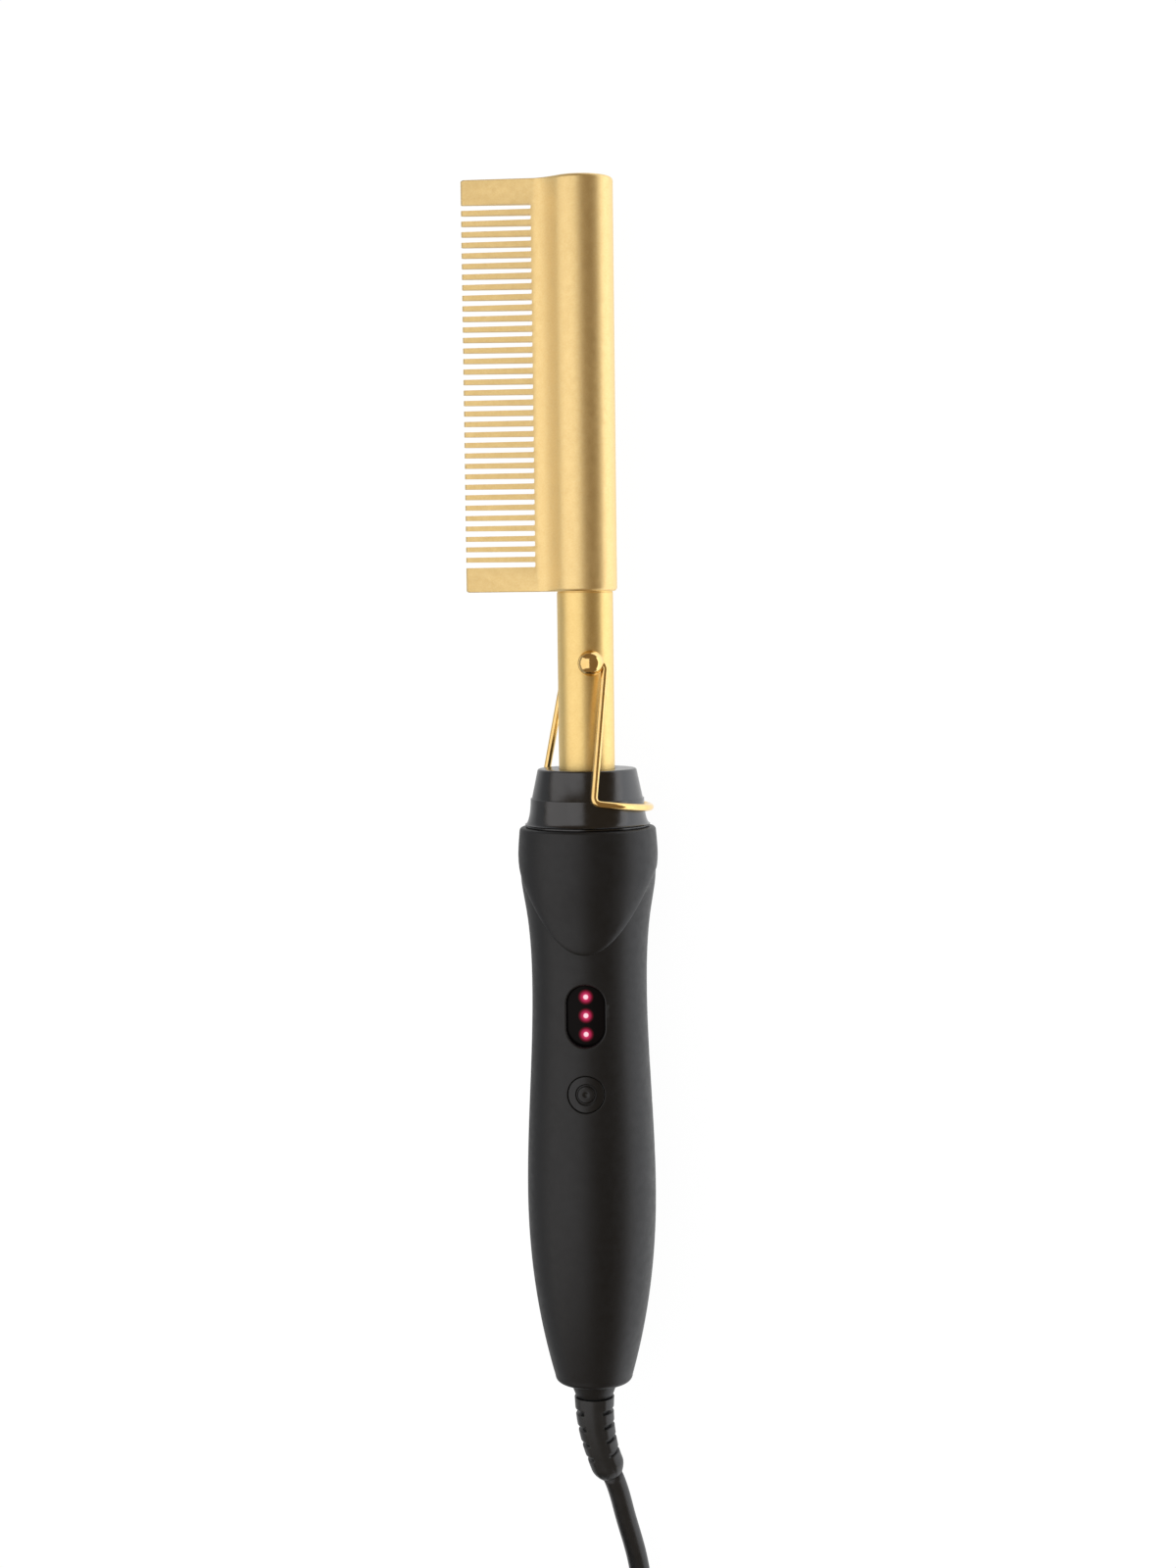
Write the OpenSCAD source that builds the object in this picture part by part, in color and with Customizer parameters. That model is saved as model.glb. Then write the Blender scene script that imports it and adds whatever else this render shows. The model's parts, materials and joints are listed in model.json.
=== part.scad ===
// Electric hot comb: heated comb head on a neck tube, folding wire stand, two-shell handle with
// indicator window and button, swivelling mains cord put away in a coil.
// Each piece is built upright, with height measured up from the handle's lower end, the button
// side towards -Y, the comb's spine towards +X and its teeth towards -X. Then it is laid down.

/* [Comb head] */
// Length of the comb head along the tool
head_len = 100.2; // [95:0.1:110]
// Radius of the round spine that holds the heater
spine_r = 7.95; // [7.6:0.05:9]
// Distance from the tool's axis to the tips of the teeth
teeth_reach = 29.2; // [26:0.1:32]
// Thickness of the teeth at their tips
tooth_tip_t = 1.6; // [1.4:0.1:3]
// Thickness of the teeth at the roots of the slots
tooth_root_t = 2.8; // [2.4:0.1:4]
// Distance from the tool's axis to the roots of the slots
slot_root = 12.0; // [10:0.1:14]
// Width of each slot between two teeth
slot_w = 1.3; // [0.9:0.05:1.6]
// Distance from one slot to the next
slot_pitch = 2.553; // [2.3:0.001:2.6]
// Number of slots
slot_count = 35; // [30:1:36]
// Rounding of the blade's two outer corners
blade_corner_r = 1.0; // [0.5:0.1:2]
// Closed length above the heater bore
head_cap_t = 6; // [4:0.5:8]

/* [Heater] */
// Radius of the bore that holds the heater
heater_bore_r = 5.0; // [4.6:0.05:5.4]
// Length of the heater
heater_len = 70; // [60:1:74]
// Thickness of the heating plates
ptc_t = 2.2; // [1.8:0.1:2.6]
// Wall of the insulating sleeve round the heater
sleeve_t = 0.35; // [0.2:0.05:0.5]
// Length of the temperature sensor
sensor_len = 3.5; // [3:0.1:3.8]

/* [Neck tube] */
// Outer radius of the neck tube
tube_r = 6.9; // [6.6:0.05:7.2]
// Wall of the neck tube
tube_wall = 1.0; // [0.8:0.05:1.2]
// Length of tube that shows between the collar and the comb head
neck_len = 43.6; // [38:0.1:50]
// Depth of the tube inside the comb head
tube_seat = 14; // [10:0.5:18]
// Length of tube inside the collar and the handle
tube_tail = 28.4; // [27:0.1:30]
// Radius of the cross pin that locks the tube in the collar
neck_pin_r = 1.25; // [1:0.05:1.4]

/* [Wire stand] */
// Thickness of the stand's wire
wire_d = 1.75; // [1.5:0.05:1.9]
// Distance from the comb head's lower end down to the stand's pivot
pivot_drop = 17.5; // [15:0.1:19]
// Turn of the pivot about the tool's axis
stand_clock = 13; // [8:1:16]
// Lean of the folded stand towards the teeth
stand_lean = 7.5; // [6:0.1:9]
// Distance from the pivot down to the middle of the foot
stand_drop = 33.8; // [32:0.1:34]
// Radius of the foot round the tool's axis
foot_r = 15.7; // [15.6:0.05:16]
// Distance from the pivot across to each leg
leg_offset = 3.6; // [3.6:0.05:4]
// Radius of the wire's loops round the screws
eyelet_r = 2.3; // [2.25:0.05:2.5]
// Lean of the rear leg within the stand
rear_leg_shift = 1.0; // [0.5:0.05:2.5]
// Radius of the screws' domed heads
dome_r = 3.0; // [2.8:0.05:3.4]
// Height of the screws' domed heads
dome_h = 1.9; // [1.6:0.1:2.4]

/* [Collar] */
// Height of the collar above the handle
collar_len = 14.4; // [13:0.1:16]
// Radius of the collar's top
collar_top_r = 12.3; // [11.8:0.05:12.4]
// Radius of the collar's upper cone at its base
collar_mid_r = 13.7; // [13.4:0.05:13.8]
// Radius of the collar's foot
collar_foot_r = 15.5; // [15.2:0.05:15.8]
// Height of the ledge between the cone and the flared foot
collar_ledge_h = 7.1; // [6.8:0.1:8]
// Step outwards at the ledge
collar_ledge_w = 0.35; // [0.2:0.05:0.5]
// Radius of the collar's spigot inside the shells
spigot_r = 13.6; // [13:0.05:13.8]
// Radius of the flange that traps the collar
collar_flange_r = 14.4; // [14.2:0.05:14.5]

/* [Handle] */
// Length of the two handle shells
handle_len = 139.8; // [138:0.1:150]
// Radius at the lower end
end_r = 9.3; // [9:0.1:10]
// Radius at the fullest part of the palm
palm_r = 16.0; // [15.6:0.1:16.4]
// Height of the fullest part of the palm
palm_h = 48.5; // [46:0.5:54]
// Radius at the waist
waist_r = 14.25; // [14.1:0.05:14.8]
// Distance from the handle's top down to the waist
waist_drop = 40; // [38:1:42]
// Radius of the bulge under the collar, without the raised shoulder
bulge_r = 16.75; // [16.6:0.05:17]
// Distance from the handle's top down to the bulge
bulge_drop = 8; // [7:0.5:9]
// Rise of the shoulder above the grip
shoulder_rise = 0.55; // [0.3:0.05:0.8]
// Length of the shoulder's tongue, from the handle's top
tongue_len = 30.3; // [28:0.1:34]
// Sharpness of the tongue's curve
tongue_curve = 0.07; // [0.06:0.005:0.08]
// Wall of the shells
wall = 2.0; // [1.8:0.1:2.2]
// Thickness of the shells' lower end
bottom_wall = 6; // [5:0.5:7]
// Thickness of the shells' upper end
top_wall = 3; // [2.5:0.1:3.2]
// Rounding of the handle's lower edge
bottom_edge_r = 1.5; // [1:0.1:2]
// Rounding of the handle's upper edge
top_edge_r = 0.9; // [0.5:0.1:1.2]

/* [Shell screws] */
// Height of the lower screw
low_screw_h = 38; // [36:0.5:40]
// Distance from the handle's top down to the upper screw
high_screw_drop = 20; // [19:0.5:21]
// Radius of the screws' shanks
screw_r = 1.45; // [1.2:0.05:1.6]
// Radius of the screws' heads
screw_head_r = 2.6; // [2.3:0.05:2.8]
// Distance from the seam to the underside of the heads
screw_seat = 8; // [7:0.5:9]
// Depth of thread in the front shell
thread_depth = 9; // [7:0.5:10]

/* [Window and button] */
// Distance from the handle's top down to the window's centre
window_drop = 45.3; // [44.5:0.1:46]
// Width of the window
window_w = 9.5; // [8.5:0.1:10]
// Length of the window
window_len = 15.3; // [14:0.1:16]
// Distance from the tool's axis to the lens's outer face
lens_face = 12.5; // [12.3:0.05:12.6]
// Thickness of the lens
lens_t = 1.4; // [1:0.1:1.5]
// Lip of the lens behind the window's edge
lens_lip = 0.8; // [0.6:0.05:1]
// Radius of each lamp
led_r = 1.5; // [1.3:0.05:1.6]
// Distance from one lamp to the next
led_pitch = 4.6; // [4:0.1:4.8]
// Distance from the handle's top down to the button's centre
button_drop = 64.4; // [64.2:0.1:64.5]
// Radius of the button
button_r = 4.5; // [4.2:0.05:4.7]
// Distance the button travels
button_travel = 0.7; // [0.4:0.05:0.8]
// Width of the flange that keeps the button in the shell
button_flange = 1.1; // [0.8:0.05:1.2]
// Distance from the tool's axis to the button's seat in the shell
button_seat = 12.2; // [12:0.05:12.3]

/* [Circuit board] */
// Distance from the tool's axis to the board's front face
board_face = 7.2; // [7:0.05:7.3]
// Thickness of the board
board_t = 1.6; // [1.2:0.1:1.8]
// Width of the board
board_w = 16; // [14:0.5:17]
// Height of the board's lower end
board_low_h = 52.8; // [50:0.1:56]
// Distance from the handle's top down to the board's upper end
board_drop = 29; // [28.5:0.5:30]

/* [Swivel and strain relief] */
// Length of the swivel's cone below the handle
cone_len = 4.2; // [4:0.1:6]
// Radius of the swivel's journal in the handle
journal_r = 6.0; // [5.8:0.05:6.1]
// Radius of the cone's lower end
cone_end_r = 4.6; // [4.4:0.05:5.4]
// Radius of the flange that keeps the swivel in the handle
swivel_flange_r = 8.2; // [7.8:0.05:8.4]
// Thickness of that flange
swivel_flange_t = 3.2; // [2.8:0.1:3.6]
// Radius of the strain relief's first rib
relief_top_r = 5.0; // [4.8:0.05:5.2]
// Radius of the strain relief's last rib
relief_end_r = 4.2; // [3.9:0.05:4.4]
// Radius of the strain relief between its ribs
relief_core_r = 3.6; // [3.3:0.05:3.8]
// Radius of the strain relief's bend
relief_bend_r = 45; // [42:1:60]
// Angle of the strain relief's bend
relief_bend = 26; // [22:1:28]
// Direction of the bend, turned from the spine side towards the back
relief_turn = 28; // [20:1:40]
// Number of ribs
rib_count = 5; // [4:1:5]

/* [Mains cord] */
// Thickness of the cord
cord_d = 5.2; // [4.8:0.1:5.4]
// Distance from one turn of the coil to the next, and from layer to layer
coil_step = 5.7; // [5.6:0.05:5.8]
// Radius of the coil's innermost turn
coil_in_r = 21.6; // [21:0.1:22]
// Turns in each layer
layer_turns = 2; // [2:1:3]
// Turns in the whole coil
coil_turns = 7.5; // [6.5:1:7.5]
// Thickness of the tie round the coil
tie_t = 0.8; // [0.5:0.1:1]
// Width of the tie
tie_w = 12; // [8:1:14]

/* [Plug] */
// Width of the plug's body
plug_w = 35.3; // [34:0.1:36]
// Thickness of the plug's body
plug_t = 13.7; // [13:0.1:14]
// Length of the plug's body
plug_len = 36; // [33:0.5:38]
// Length of the plug's own strain relief
plug_relief_len = 11; // [9:0.5:12]
// Radius of the pins
pin_r = 2.0; // [1.95:0.05:2.1]
// Distance between the pins
pin_spacing = 18.6; // [18:0.1:19]
// Length of the pins outside the body
pin_len = 19; // [18:0.5:20]
// Length of the insulating sleeves on the pins
pin_sleeve_len = 10; // [9:0.5:11]

/* [Fits] */
// Radial clearance of pins, journals and seats
fit = 0.05; // [0.02:0.01:0.1]
// Gap between bodies that move past each other
run_gap = 0.3; // [0.2:0.05:0.4]
// Radial clearance of screws in their pilot holes
pilot_fit = 0.02; // [0.01:0.01:0.04]

/* [Hidden] */
$fn = 64;

gold = "#d8b872";
bright_gold = "#e0b860";
black = "#262626";
dark = "#1c1c1e";
steel = "#b8bcc0";
copper = "#c08050";

// Heights of the main pieces, up from the handle's lower end
collar_h = handle_len + collar_len;
head_h = collar_h + neck_len;
total_len = head_h + head_len;
pivot_h = head_h - pivot_drop;
lie_h = bulge_r + shoulder_rise;
axis_x = (teeth_reach - lie_h) / 2;
far = 60;

// Row frame: the tool lies along Y with its button side up
module lay() {
    translate([axis_x, -total_len / 2, lie_h]) rotate([-90, 0, 0]) children();
}

// Turns a piece drawn along Z so that it runs from the seam towards the front, at a height
module frontwards(h, x = 0) {
    translate([x, 0, h]) rotate([90, 0, 0]) children();
}

module tube_ring(r_out, r_in, h) {
    difference() {
        cylinder(r = r_out, h = h);
        translate([0, 0, -h]) cylinder(r = r_in, h = 3 * h);
    }
}

function unit(v) = v / norm(v);

// Rounds the corner b of a path that comes from a and goes on to c
function rounded(a, b, c, back) =
    let (p = b + back * unit(a - b), q = b + back * unit(c - b))
    [for (t = [0 : 0.25 : 1]) (1 - t) * (1 - t) * p + 2 * t * (1 - t) * b + t * t * q];

// Tube swept along points, with square ends and a frame that is carried along without twisting

function heading(points, i, first, last) =
    i == 0 ? first : i == len(points) - 1 ? last : unit(points[i + 1] - points[i - 1]);

function carried(ways, i, side) =
    i == len(ways) ? [] : let (next = unit(side - (side * ways[i]) * ways[i]))
        concat([next], carried(ways, i + 1, next));

module swept(points, r, sides, first, last, ref = [0, 0, 1]) {
    ways = [for (i = [0 : len(points) - 1]) heading(points, i, first, last)];
    frames = carried(ways, 0, unit(cross(first, ref)));
    rings = [for (i = [0 : len(points) - 1]) let (up = cross(frames[i], ways[i]))
        for (j = [0 : sides - 1]) let (a = 360 * j / sides)
            points[i] + r * (cos(a) * frames[i] + sin(a) * up)];
    last_ring = sides * (len(points) - 1);
    walls = [for (i = [0 : len(points) - 2], j = [0 : sides - 1])
        let (a = i * sides + j, b = i * sides + (j + 1) % sides)
            each [[a, b, b + sides], [a, b + sides, a + sides]]];
    caps = [for (j = [1 : sides - 2])
        each [[0, j + 1, j], [last_ring, last_ring + j, last_ring + j + 1]]];
    polyhedron(rings, concat(walls, caps));
}

// Insulated lead inside the tool, which starts square to the circuit board's back
module lead(points, r) {
    last = len(points) - 1;
    swept(points, r, 8, [0, 1, 0], unit(points[last] - points[last - 1]));
}

// Comb head

first_slot = head_len / 2 - slot_pitch * (slot_count - 1) / 2;
tip_r = tooth_tip_t / 2;
root_r = tooth_root_t / 2;
tip_bevel = 0.35;
// The blade's faces sweep up to the spine and meet it this far round from the teeth's side
spine_join = 45;
flank_steps = 6;
spine_step = 5;

// Smooth curve from a to b that leaves along u and arrives along v
function curve(a, b, u, v, t) =
    a * (2 * t * t * t - 3 * t * t + 1) + b * (3 * t * t - 2 * t * t * t)
        + u * (t * t * t - 2 * t * t + t) + v * (t * t * t - t * t);

// Rise of the blade's face from the roots of the slots to the spine
function flank(t) =
    let (low = [-slot_root, root_r], high = spine_r * [-cos(spine_join), sin(spine_join)],
        run = norm(high - low))
    curve(low, high, run * unit([teeth_reach - slot_root, root_r - tip_r]),
        run * [sin(spine_join), cos(spine_join)], t);

// Half of the head's section, from the teeth's blunt edge to the crest of the spine
half_section = concat([[-teeth_reach, tip_r - tip_bevel], [-teeth_reach + tip_bevel, tip_r]],
    [for (i = [0 : flank_steps]) flank(i / flank_steps)],
    [for (a = [180 - spine_join - spine_step : -spine_step : spine_step])
        spine_r * [cos(a), sin(a)]]);

module head_section() {
    last = len(half_section) - 1;
    polygon(concat(half_section, [[spine_r, 0]],
        [for (i = [last : -1 : 0]) [half_section[i].x, -half_section[i].y]]));
}

module corner_trim(at_h, way) {
    translate([-teeth_reach, 0, at_h]) rotate([90, 0, 0]) linear_extrude(far, center = true)
        difference() {
            translate([-1, way > 0 ? -blade_corner_r : -1]) square(blade_corner_r + 1);
            translate([blade_corner_r, -way * blade_corner_r]) circle(r = blade_corner_r);
        }
}

module comb_head() color(gold) lay() difference() {
    translate([0, 0, head_h]) linear_extrude(head_len) head_section();
    corner_trim(head_h, -1);
    corner_trim(head_h + head_len, 1);
    for (i = [0 : slot_count - 1])
        translate([-far - slot_root, -far / 2,
                head_h + head_len - first_slot - i * slot_pitch - slot_w / 2])
            cube([far, far, slot_w]);
    translate([0, 0, head_h - 1]) cylinder(r = tube_r + fit, h = tube_seat + 1);
    translate([0, 0, head_h])
        cylinder(r = heater_bore_r, h = head_len - head_cap_t);
}

// Heater

heater_h = head_h + tube_seat + sensor_len + 0.5;
shoe_r = heater_bore_r - 2 * fit - sleeve_t;

module heater_shoes() color(steel) lay() translate([0, 0, heater_h]) difference() {
    cylinder(r = shoe_r, h = heater_len);
    translate([-far / 2, -ptc_t / 2, -1]) cube([far, ptc_t, heater_len + 2]);
}

module heating_plates() color("#6a6a70") lay() {
    count = 3;
    plate_len = heater_len / count - 1;
    for (i = [0 : count - 1])
        translate([-shoe_r + 0.8, -ptc_t / 2, heater_h + 0.5 + i * (plate_len + 1)])
            cube([2 * shoe_r - 1.6, ptc_t, plate_len]);
}

module heater_sleeve() color("#d8a030") lay() translate([0, 0, heater_h])
    tube_ring(shoe_r + fit + sleeve_t, shoe_r + fit, heater_len);

module temperature_sensor() color(copper) lay()
    translate([0, 0, heater_h - sensor_len]) cylinder(r = 1.3, h = sensor_len);

// Neck tube and its pin

tube_low_h = handle_len + collar_len - tube_tail;
tube_high_h = head_h + tube_seat;
neck_pin_h = handle_len - 3.5;

module neck_tube() color(gold) lay() difference() {
    translate([0, 0, tube_low_h]) tube_ring(tube_r, tube_r - tube_wall, tube_high_h - tube_low_h);
    translate([0, 0, neck_pin_h]) rotate([90, 0, 0])
        cylinder(r = neck_pin_r + pilot_fit, h = far, center = true, $fn = 32);
    translate([0, 0, pivot_h]) rotate([90, 0, stand_clock])
        cylinder(r = stand_thread_r + pilot_fit, h = far, center = true, $fn = 32);
}

module neck_pin() color(steel) lay()
    translate([0, 0, neck_pin_h]) rotate([90, 0, 0])
        cylinder(r = neck_pin_r, h = 2 * spigot_r - 1, center = true, $fn = 32);

// Wire stand, drawn with the pivot along Y and its legs hanging down, then leant and clocked

wire_r = wire_d / 2;
eyelet_y = tube_r + 0.12 + wire_r;
stand_neck_r = eyelet_r - wire_r - fit;
stand_thread_r = 1.0;
foot_drop = stand_drop * cos(stand_lean);
foot_shift = foot_drop * tan(stand_lean);
rear_leg_x = -leg_offset - rear_leg_shift;

module stand_place() {
    lay() translate([0, 0, pivot_h]) rotate([0, 0, stand_clock]) children();
}

// Both screws share a shape: side is -1 at the front and 1 at the back
module at_screw(side) {
    rotate([0, 0, side > 0 ? 180 : 0]) rotate([90, 0, 0]) children();
}

eyelet_t = wire_d + 0.1;
foot_bend = 1.8;
foot_steps = 22;

module stand_wire() color(bright_gold) stand_place() rotate([0, stand_lean, 0]) {
    reach = sqrt(pow(foot_r, 2) - pow(foot_shift - leg_offset, 2));
    start_angle = -90 - asin((foot_shift - leg_offset) / foot_r);
    front_top = [leg_offset, -eyelet_y, 0];
    front_foot = [leg_offset, -reach, -foot_drop];
    rear_top = [-leg_offset, eyelet_y, 0];
    rear_foot = [rear_leg_x, foot_r, -foot_drop];
    arc = [for (i = [1 : foot_steps]) let (a = start_angle + (90 - start_angle) * i / foot_steps)
        [foot_shift + foot_r * cos(a), foot_r * sin(a), -foot_drop]];
    swept(concat([[eyelet_r - 0.1, -eyelet_y, 0]],
        rounded([0, -eyelet_y, 0], front_top, front_foot, leg_offset - eyelet_r),
        rounded(front_top, front_foot, arc[0], foot_bend), arc,
        rounded(arc[foot_steps - 1], rear_foot, rear_top, foot_bend),
        rounded(rear_foot, rear_top, [0, eyelet_y, 0], leg_offset - eyelet_r),
        [[-eyelet_r + 0.1, eyelet_y, 0]]), wire_r, 8, [1, 0, 0], [1, 0, 0]);
    for (side = [-1, 1]) translate([0, side * eyelet_y, 0]) rotate([90, 0, 0])
        translate([0, 0, -eyelet_t / 2])
            tube_ring(eyelet_r + wire_r, eyelet_r - wire_r, eyelet_t);
}

dome_seat = eyelet_y + wire_r + 0.1;
// Radius of the sphere that gives the dome its width and height
dome_ball_r = (pow(dome_r, 2) + pow(dome_h, 2)) / (2 * dome_h);

module stand_screws() color(bright_gold) stand_place() for (side = [-1, 1]) at_screw(side) {
    intersection() {
        translate([0, 0, dome_seat + dome_h - dome_ball_r]) sphere(r = dome_ball_r);
        translate([0, 0, dome_seat]) cylinder(r = dome_r, h = dome_h + 1);
    }
    translate([0, 0, tube_r + 0.02]) cylinder(r = stand_neck_r, h = dome_seat - tube_r, $fn = 32);
    translate([0, 0, tube_r - 3]) cylinder(r = stand_thread_r, h = 3.1, $fn = 32);
}

nut_r = 2.4;
nut_t = 1.6;
// Height at which the nut's corners reach the inside of the tube
nut_face = sqrt(pow(tube_r - tube_wall, 2) - pow(nut_r, 2)) - 0.02;

module stand_nuts() color(steel) stand_place() for (side = [-1, 1]) at_screw(side)
    translate([0, 0, nut_face - nut_t]) difference() {
        cylinder(r = nut_r, h = nut_t, $fn = 6);
        translate([0, 0, -1]) cylinder(r = stand_thread_r + pilot_fit, h = 4, $fn = 32);
    }

// Collar

flare_steps = 8;
flange_low_h = handle_len - top_wall - 0.05 - 3.1;

module nose_collar() color(black) lay() {
    flare_w = collar_foot_r - collar_mid_r - collar_ledge_w;
    difference() {
        rotate_extrude($fn = 96) polygon(concat(
            [[0, flange_low_h], [collar_flange_r, flange_low_h],
                [collar_flange_r, handle_len - top_wall - fit],
                [spigot_r, handle_len - top_wall - fit], [spigot_r, handle_len],
                [collar_foot_r - 0.5, handle_len], [collar_foot_r - 0.5, handle_len + 0.5]],
            [for (i = [0 : flare_steps]) let (t = i / flare_steps)
                [collar_foot_r - flare_w * sin(90 * t),
                    handle_len + 0.7 + (collar_ledge_h - 0.7) * (1 - cos(90 * t)) * 0.999]],
            [[collar_mid_r, handle_len + collar_ledge_h + 0.05],
                [collar_top_r, collar_h - 0.5], [collar_top_r - 0.5, collar_h], [0, collar_h]]));
        translate([0, 0, flange_low_h - 1]) cylinder(r = tube_r + fit, h = far);
        translate([0, 0, neck_pin_h]) rotate([90, 0, 0])
            cylinder(r = neck_pin_r + pilot_fit, h = far, center = true, $fn = 32);
    }
}

// Handle outline: each station is a height, a radius and a slope, joined by smooth curves

stations = [
    [0, end_r, 0.29],
    [palm_h, palm_r, 0],
    [handle_len - waist_drop, waist_r, 0],
    [handle_len - bulge_drop - 15, waist_r + 0.85, 0.12],
    [handle_len - bulge_drop - 6, bulge_r - 0.25, 0.14],
    [handle_len - bulge_drop, bulge_r, 0],
    [handle_len, bulge_r - 0.5, -0.1]];

// Radius at a height between station a and station b
function bridge(a, b, h) =
    let (d = b[0] - a[0]) curve(a[1], b[1], d * a[2], d * b[2], (h - a[0]) / d);

function grip_r(h, i = 0) =
    h <= stations[i + 1][0] || i == len(stations) - 2
        ? bridge(stations[i], stations[i + 1], h) : grip_r(h, i + 1);

function side_points(low, high, steps, grow) =
    [for (i = [0 : steps]) let (h = low + (high - low) * i / steps) [grip_r(h) + grow, h]];

function edge_points(r, h, edge, way) =
    [for (i = [0 : 4]) let (a = way > 0 ? i * 22.5 : i * 22.5 - 90)
        [r - edge + edge * cos(a), h - way * edge + edge * sin(a)]];

tongue_h = handle_len - tongue_len;

module tongue_prism() {
    steps = 14;
    half = 20;
    rotate([90, 0, 0]) linear_extrude(far, center = true) polygon(concat(
        [for (i = [0 : steps]) let (x = half * (2 * i / steps - 1))
            [x, tongue_h + tongue_curve * x * x]],
        [[half, handle_len + 1], [-half, handle_len + 1]]));
}

module handle_outer() {
    rotate_extrude($fn = 96) polygon(concat([[0, 0]],
        edge_points(grip_r(bottom_edge_r), 0, bottom_edge_r, -1),
        side_points(bottom_edge_r + 0.5, handle_len - 1, 34, 0),
        [[grip_r(handle_len) - 0.5, handle_len], [0, handle_len]]));
    intersection() {
        rotate_extrude($fn = 96) polygon(concat([[0, tongue_h - 2]],
            side_points(tongue_h - 2, handle_len - top_edge_r - 0.2, 12, shoulder_rise),
            edge_points(grip_r(handle_len) + shoulder_rise, handle_len, top_edge_r, 1),
            [[0, handle_len]]));
        tongue_prism();
    }
}

module handle_cavity() {
    top = handle_len - top_wall;
    rotate_extrude($fn = 96) polygon(concat([[0, bottom_wall]],
        side_points(bottom_wall, top, 28, -wall), [[0, top]]));
    translate([0, 0, -1]) cylinder(r = journal_r + fit, h = far);
    translate([0, 0, top - 1]) cylinder(r = spigot_r + fit, h = far);
}

// Rings inside the shells that hold the swivel's flange and the contact carrier

carrier_h = 25.5;
carrier_t = 3.0;
carrier_r = 12.2;

module inner_ledge(h, t, r_in) {
    intersection() {
        translate([0, 0, h]) tube_ring(palm_r + 1, r_in, t);
        rotate_extrude($fn = 96) polygon(concat([[0, h - 1]],
            side_points(h - 1, h + t + 1, 2, -wall / 2), [[0, h + t + 1]]));
    }
}

module ledges() {
    inner_ledge(bottom_wall + swivel_flange_t + 2 * fit, 1.6, journal_r + 0.5);
    inner_ledge(carrier_h - 1.15, 1.1, carrier_r - 1.2);
    inner_ledge(carrier_h + carrier_t + fit, 1.1, carrier_r - 1.2);
}

module half_space(front) {
    translate([-far, front ? -2 * far : 0, -far]) cube([2 * far, 2 * far, 2 * far + handle_len]);
}

screw_heights = [low_screw_h, handle_len - high_screw_drop];
front_boss_r = screw_r + 1.75;
well_r = screw_head_r + 0.2;
rear_boss_r = well_r + 1.2;

// Front shell, with the window's frame, the button's guide, screw bosses and board posts

window_h = handle_len - window_drop;
button_h = handle_len - button_drop;
window_boss_back = lens_face - lens_t - 0.5;
button_boss_back = 9.5;
guide_r = button_r + button_flange + 0.15;
board_len = handle_len - board_drop - board_low_h;
board_screw_inset = 3;
board_screw_heights = [board_low_h + board_screw_inset, board_low_h + board_len - board_screw_inset];
post_r = 2.3;

module oval(w, len, h) {
    linear_extrude(h) {
        square([w, len - w], center = true);
        for (side = [-1, 1]) translate([0, side * (len - w) / 2]) circle(d = w);
    }
}

module board_posts() {
    for (h = board_screw_heights)
        frontwards(h) translate([0, 0, board_face]) cylinder(r = post_r, h = far, $fn = 32);
}

module front_shell() color(black) lay() difference() {
    intersection() {
        union() {
            difference() {
                handle_outer();
                handle_cavity();
            }
            ledges();
            for (h = screw_heights) frontwards(h) cylinder(r = front_boss_r, h = far);
            frontwards(window_h) translate([0, 0, window_boss_back])
                oval(window_w + 2 * lens_lip + 1.4, window_len + 2 * lens_lip + 1.4, far);
            frontwards(button_h) translate([0, 0, button_boss_back])
                cylinder(r = guide_r + 1.15, h = far);
            board_posts();
        }
        handle_outer();
        half_space(true);
    }
    for (h = screw_heights) frontwards(h) translate([0, 0, -1])
        cylinder(r = screw_r + pilot_fit, h = thread_depth + 1, $fn = 32);
    frontwards(window_h) {
        oval(window_w, window_len, far);
        oval(window_w + 2 * lens_lip, window_len + 2 * lens_lip, lens_face);
    }
    frontwards(button_h) {
        cylinder(r = button_r + fit, h = far);
        cylinder(r = guide_r, h = button_seat);
    }
    for (h = board_screw_heights)
        frontwards(h) cylinder(r = board_screw_r + pilot_fit, h = board_face + 4, $fn = 32);
}

module rear_shell() color(black) lay() difference() {
    intersection() {
        union() {
            difference() {
                handle_outer();
                handle_cavity();
            }
            ledges();
            for (h = screw_heights) frontwards(h) mirror([0, 0, 1])
                cylinder(r = rear_boss_r, h = far);
        }
        handle_outer();
        half_space(false);
    }
    for (h = screw_heights) frontwards(h) mirror([0, 0, 1]) {
        translate([0, 0, -1]) cylinder(r = screw_r + 0.15, h = far, $fn = 32);
        translate([0, 0, screw_seat]) cylinder(r = well_r, h = far, $fn = 32);
    }
}

module shell_screws() color(steel) lay() for (h = screw_heights)
    translate([0, 0, h]) rotate([-90, 0, 0]) {
        translate([0, 0, -thread_depth + 1]) cylinder(r = screw_r, h = screw_seat + thread_depth,
            $fn = 32);
        difference() {
            translate([0, 0, screw_seat]) cylinder(r = screw_head_r, h = 2, $fn = 32);
            for (a = [0, 90]) rotate([0, 0, a])
                translate([-1.6, -0.3, screw_seat + 1.2]) cube([3.2, 0.6, 2]);
        }
    }

// Window lens, lamps, button and switch

module indicator_lens() color("#30121a") lay() frontwards(window_h)
    translate([0, 0, lens_face - lens_t])
        oval(window_w + 2 * (lens_lip - fit), window_len + 2 * (lens_lip - fit), lens_t - 0.02);

lamp_top = lens_face - lens_t - 0.2;

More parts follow.
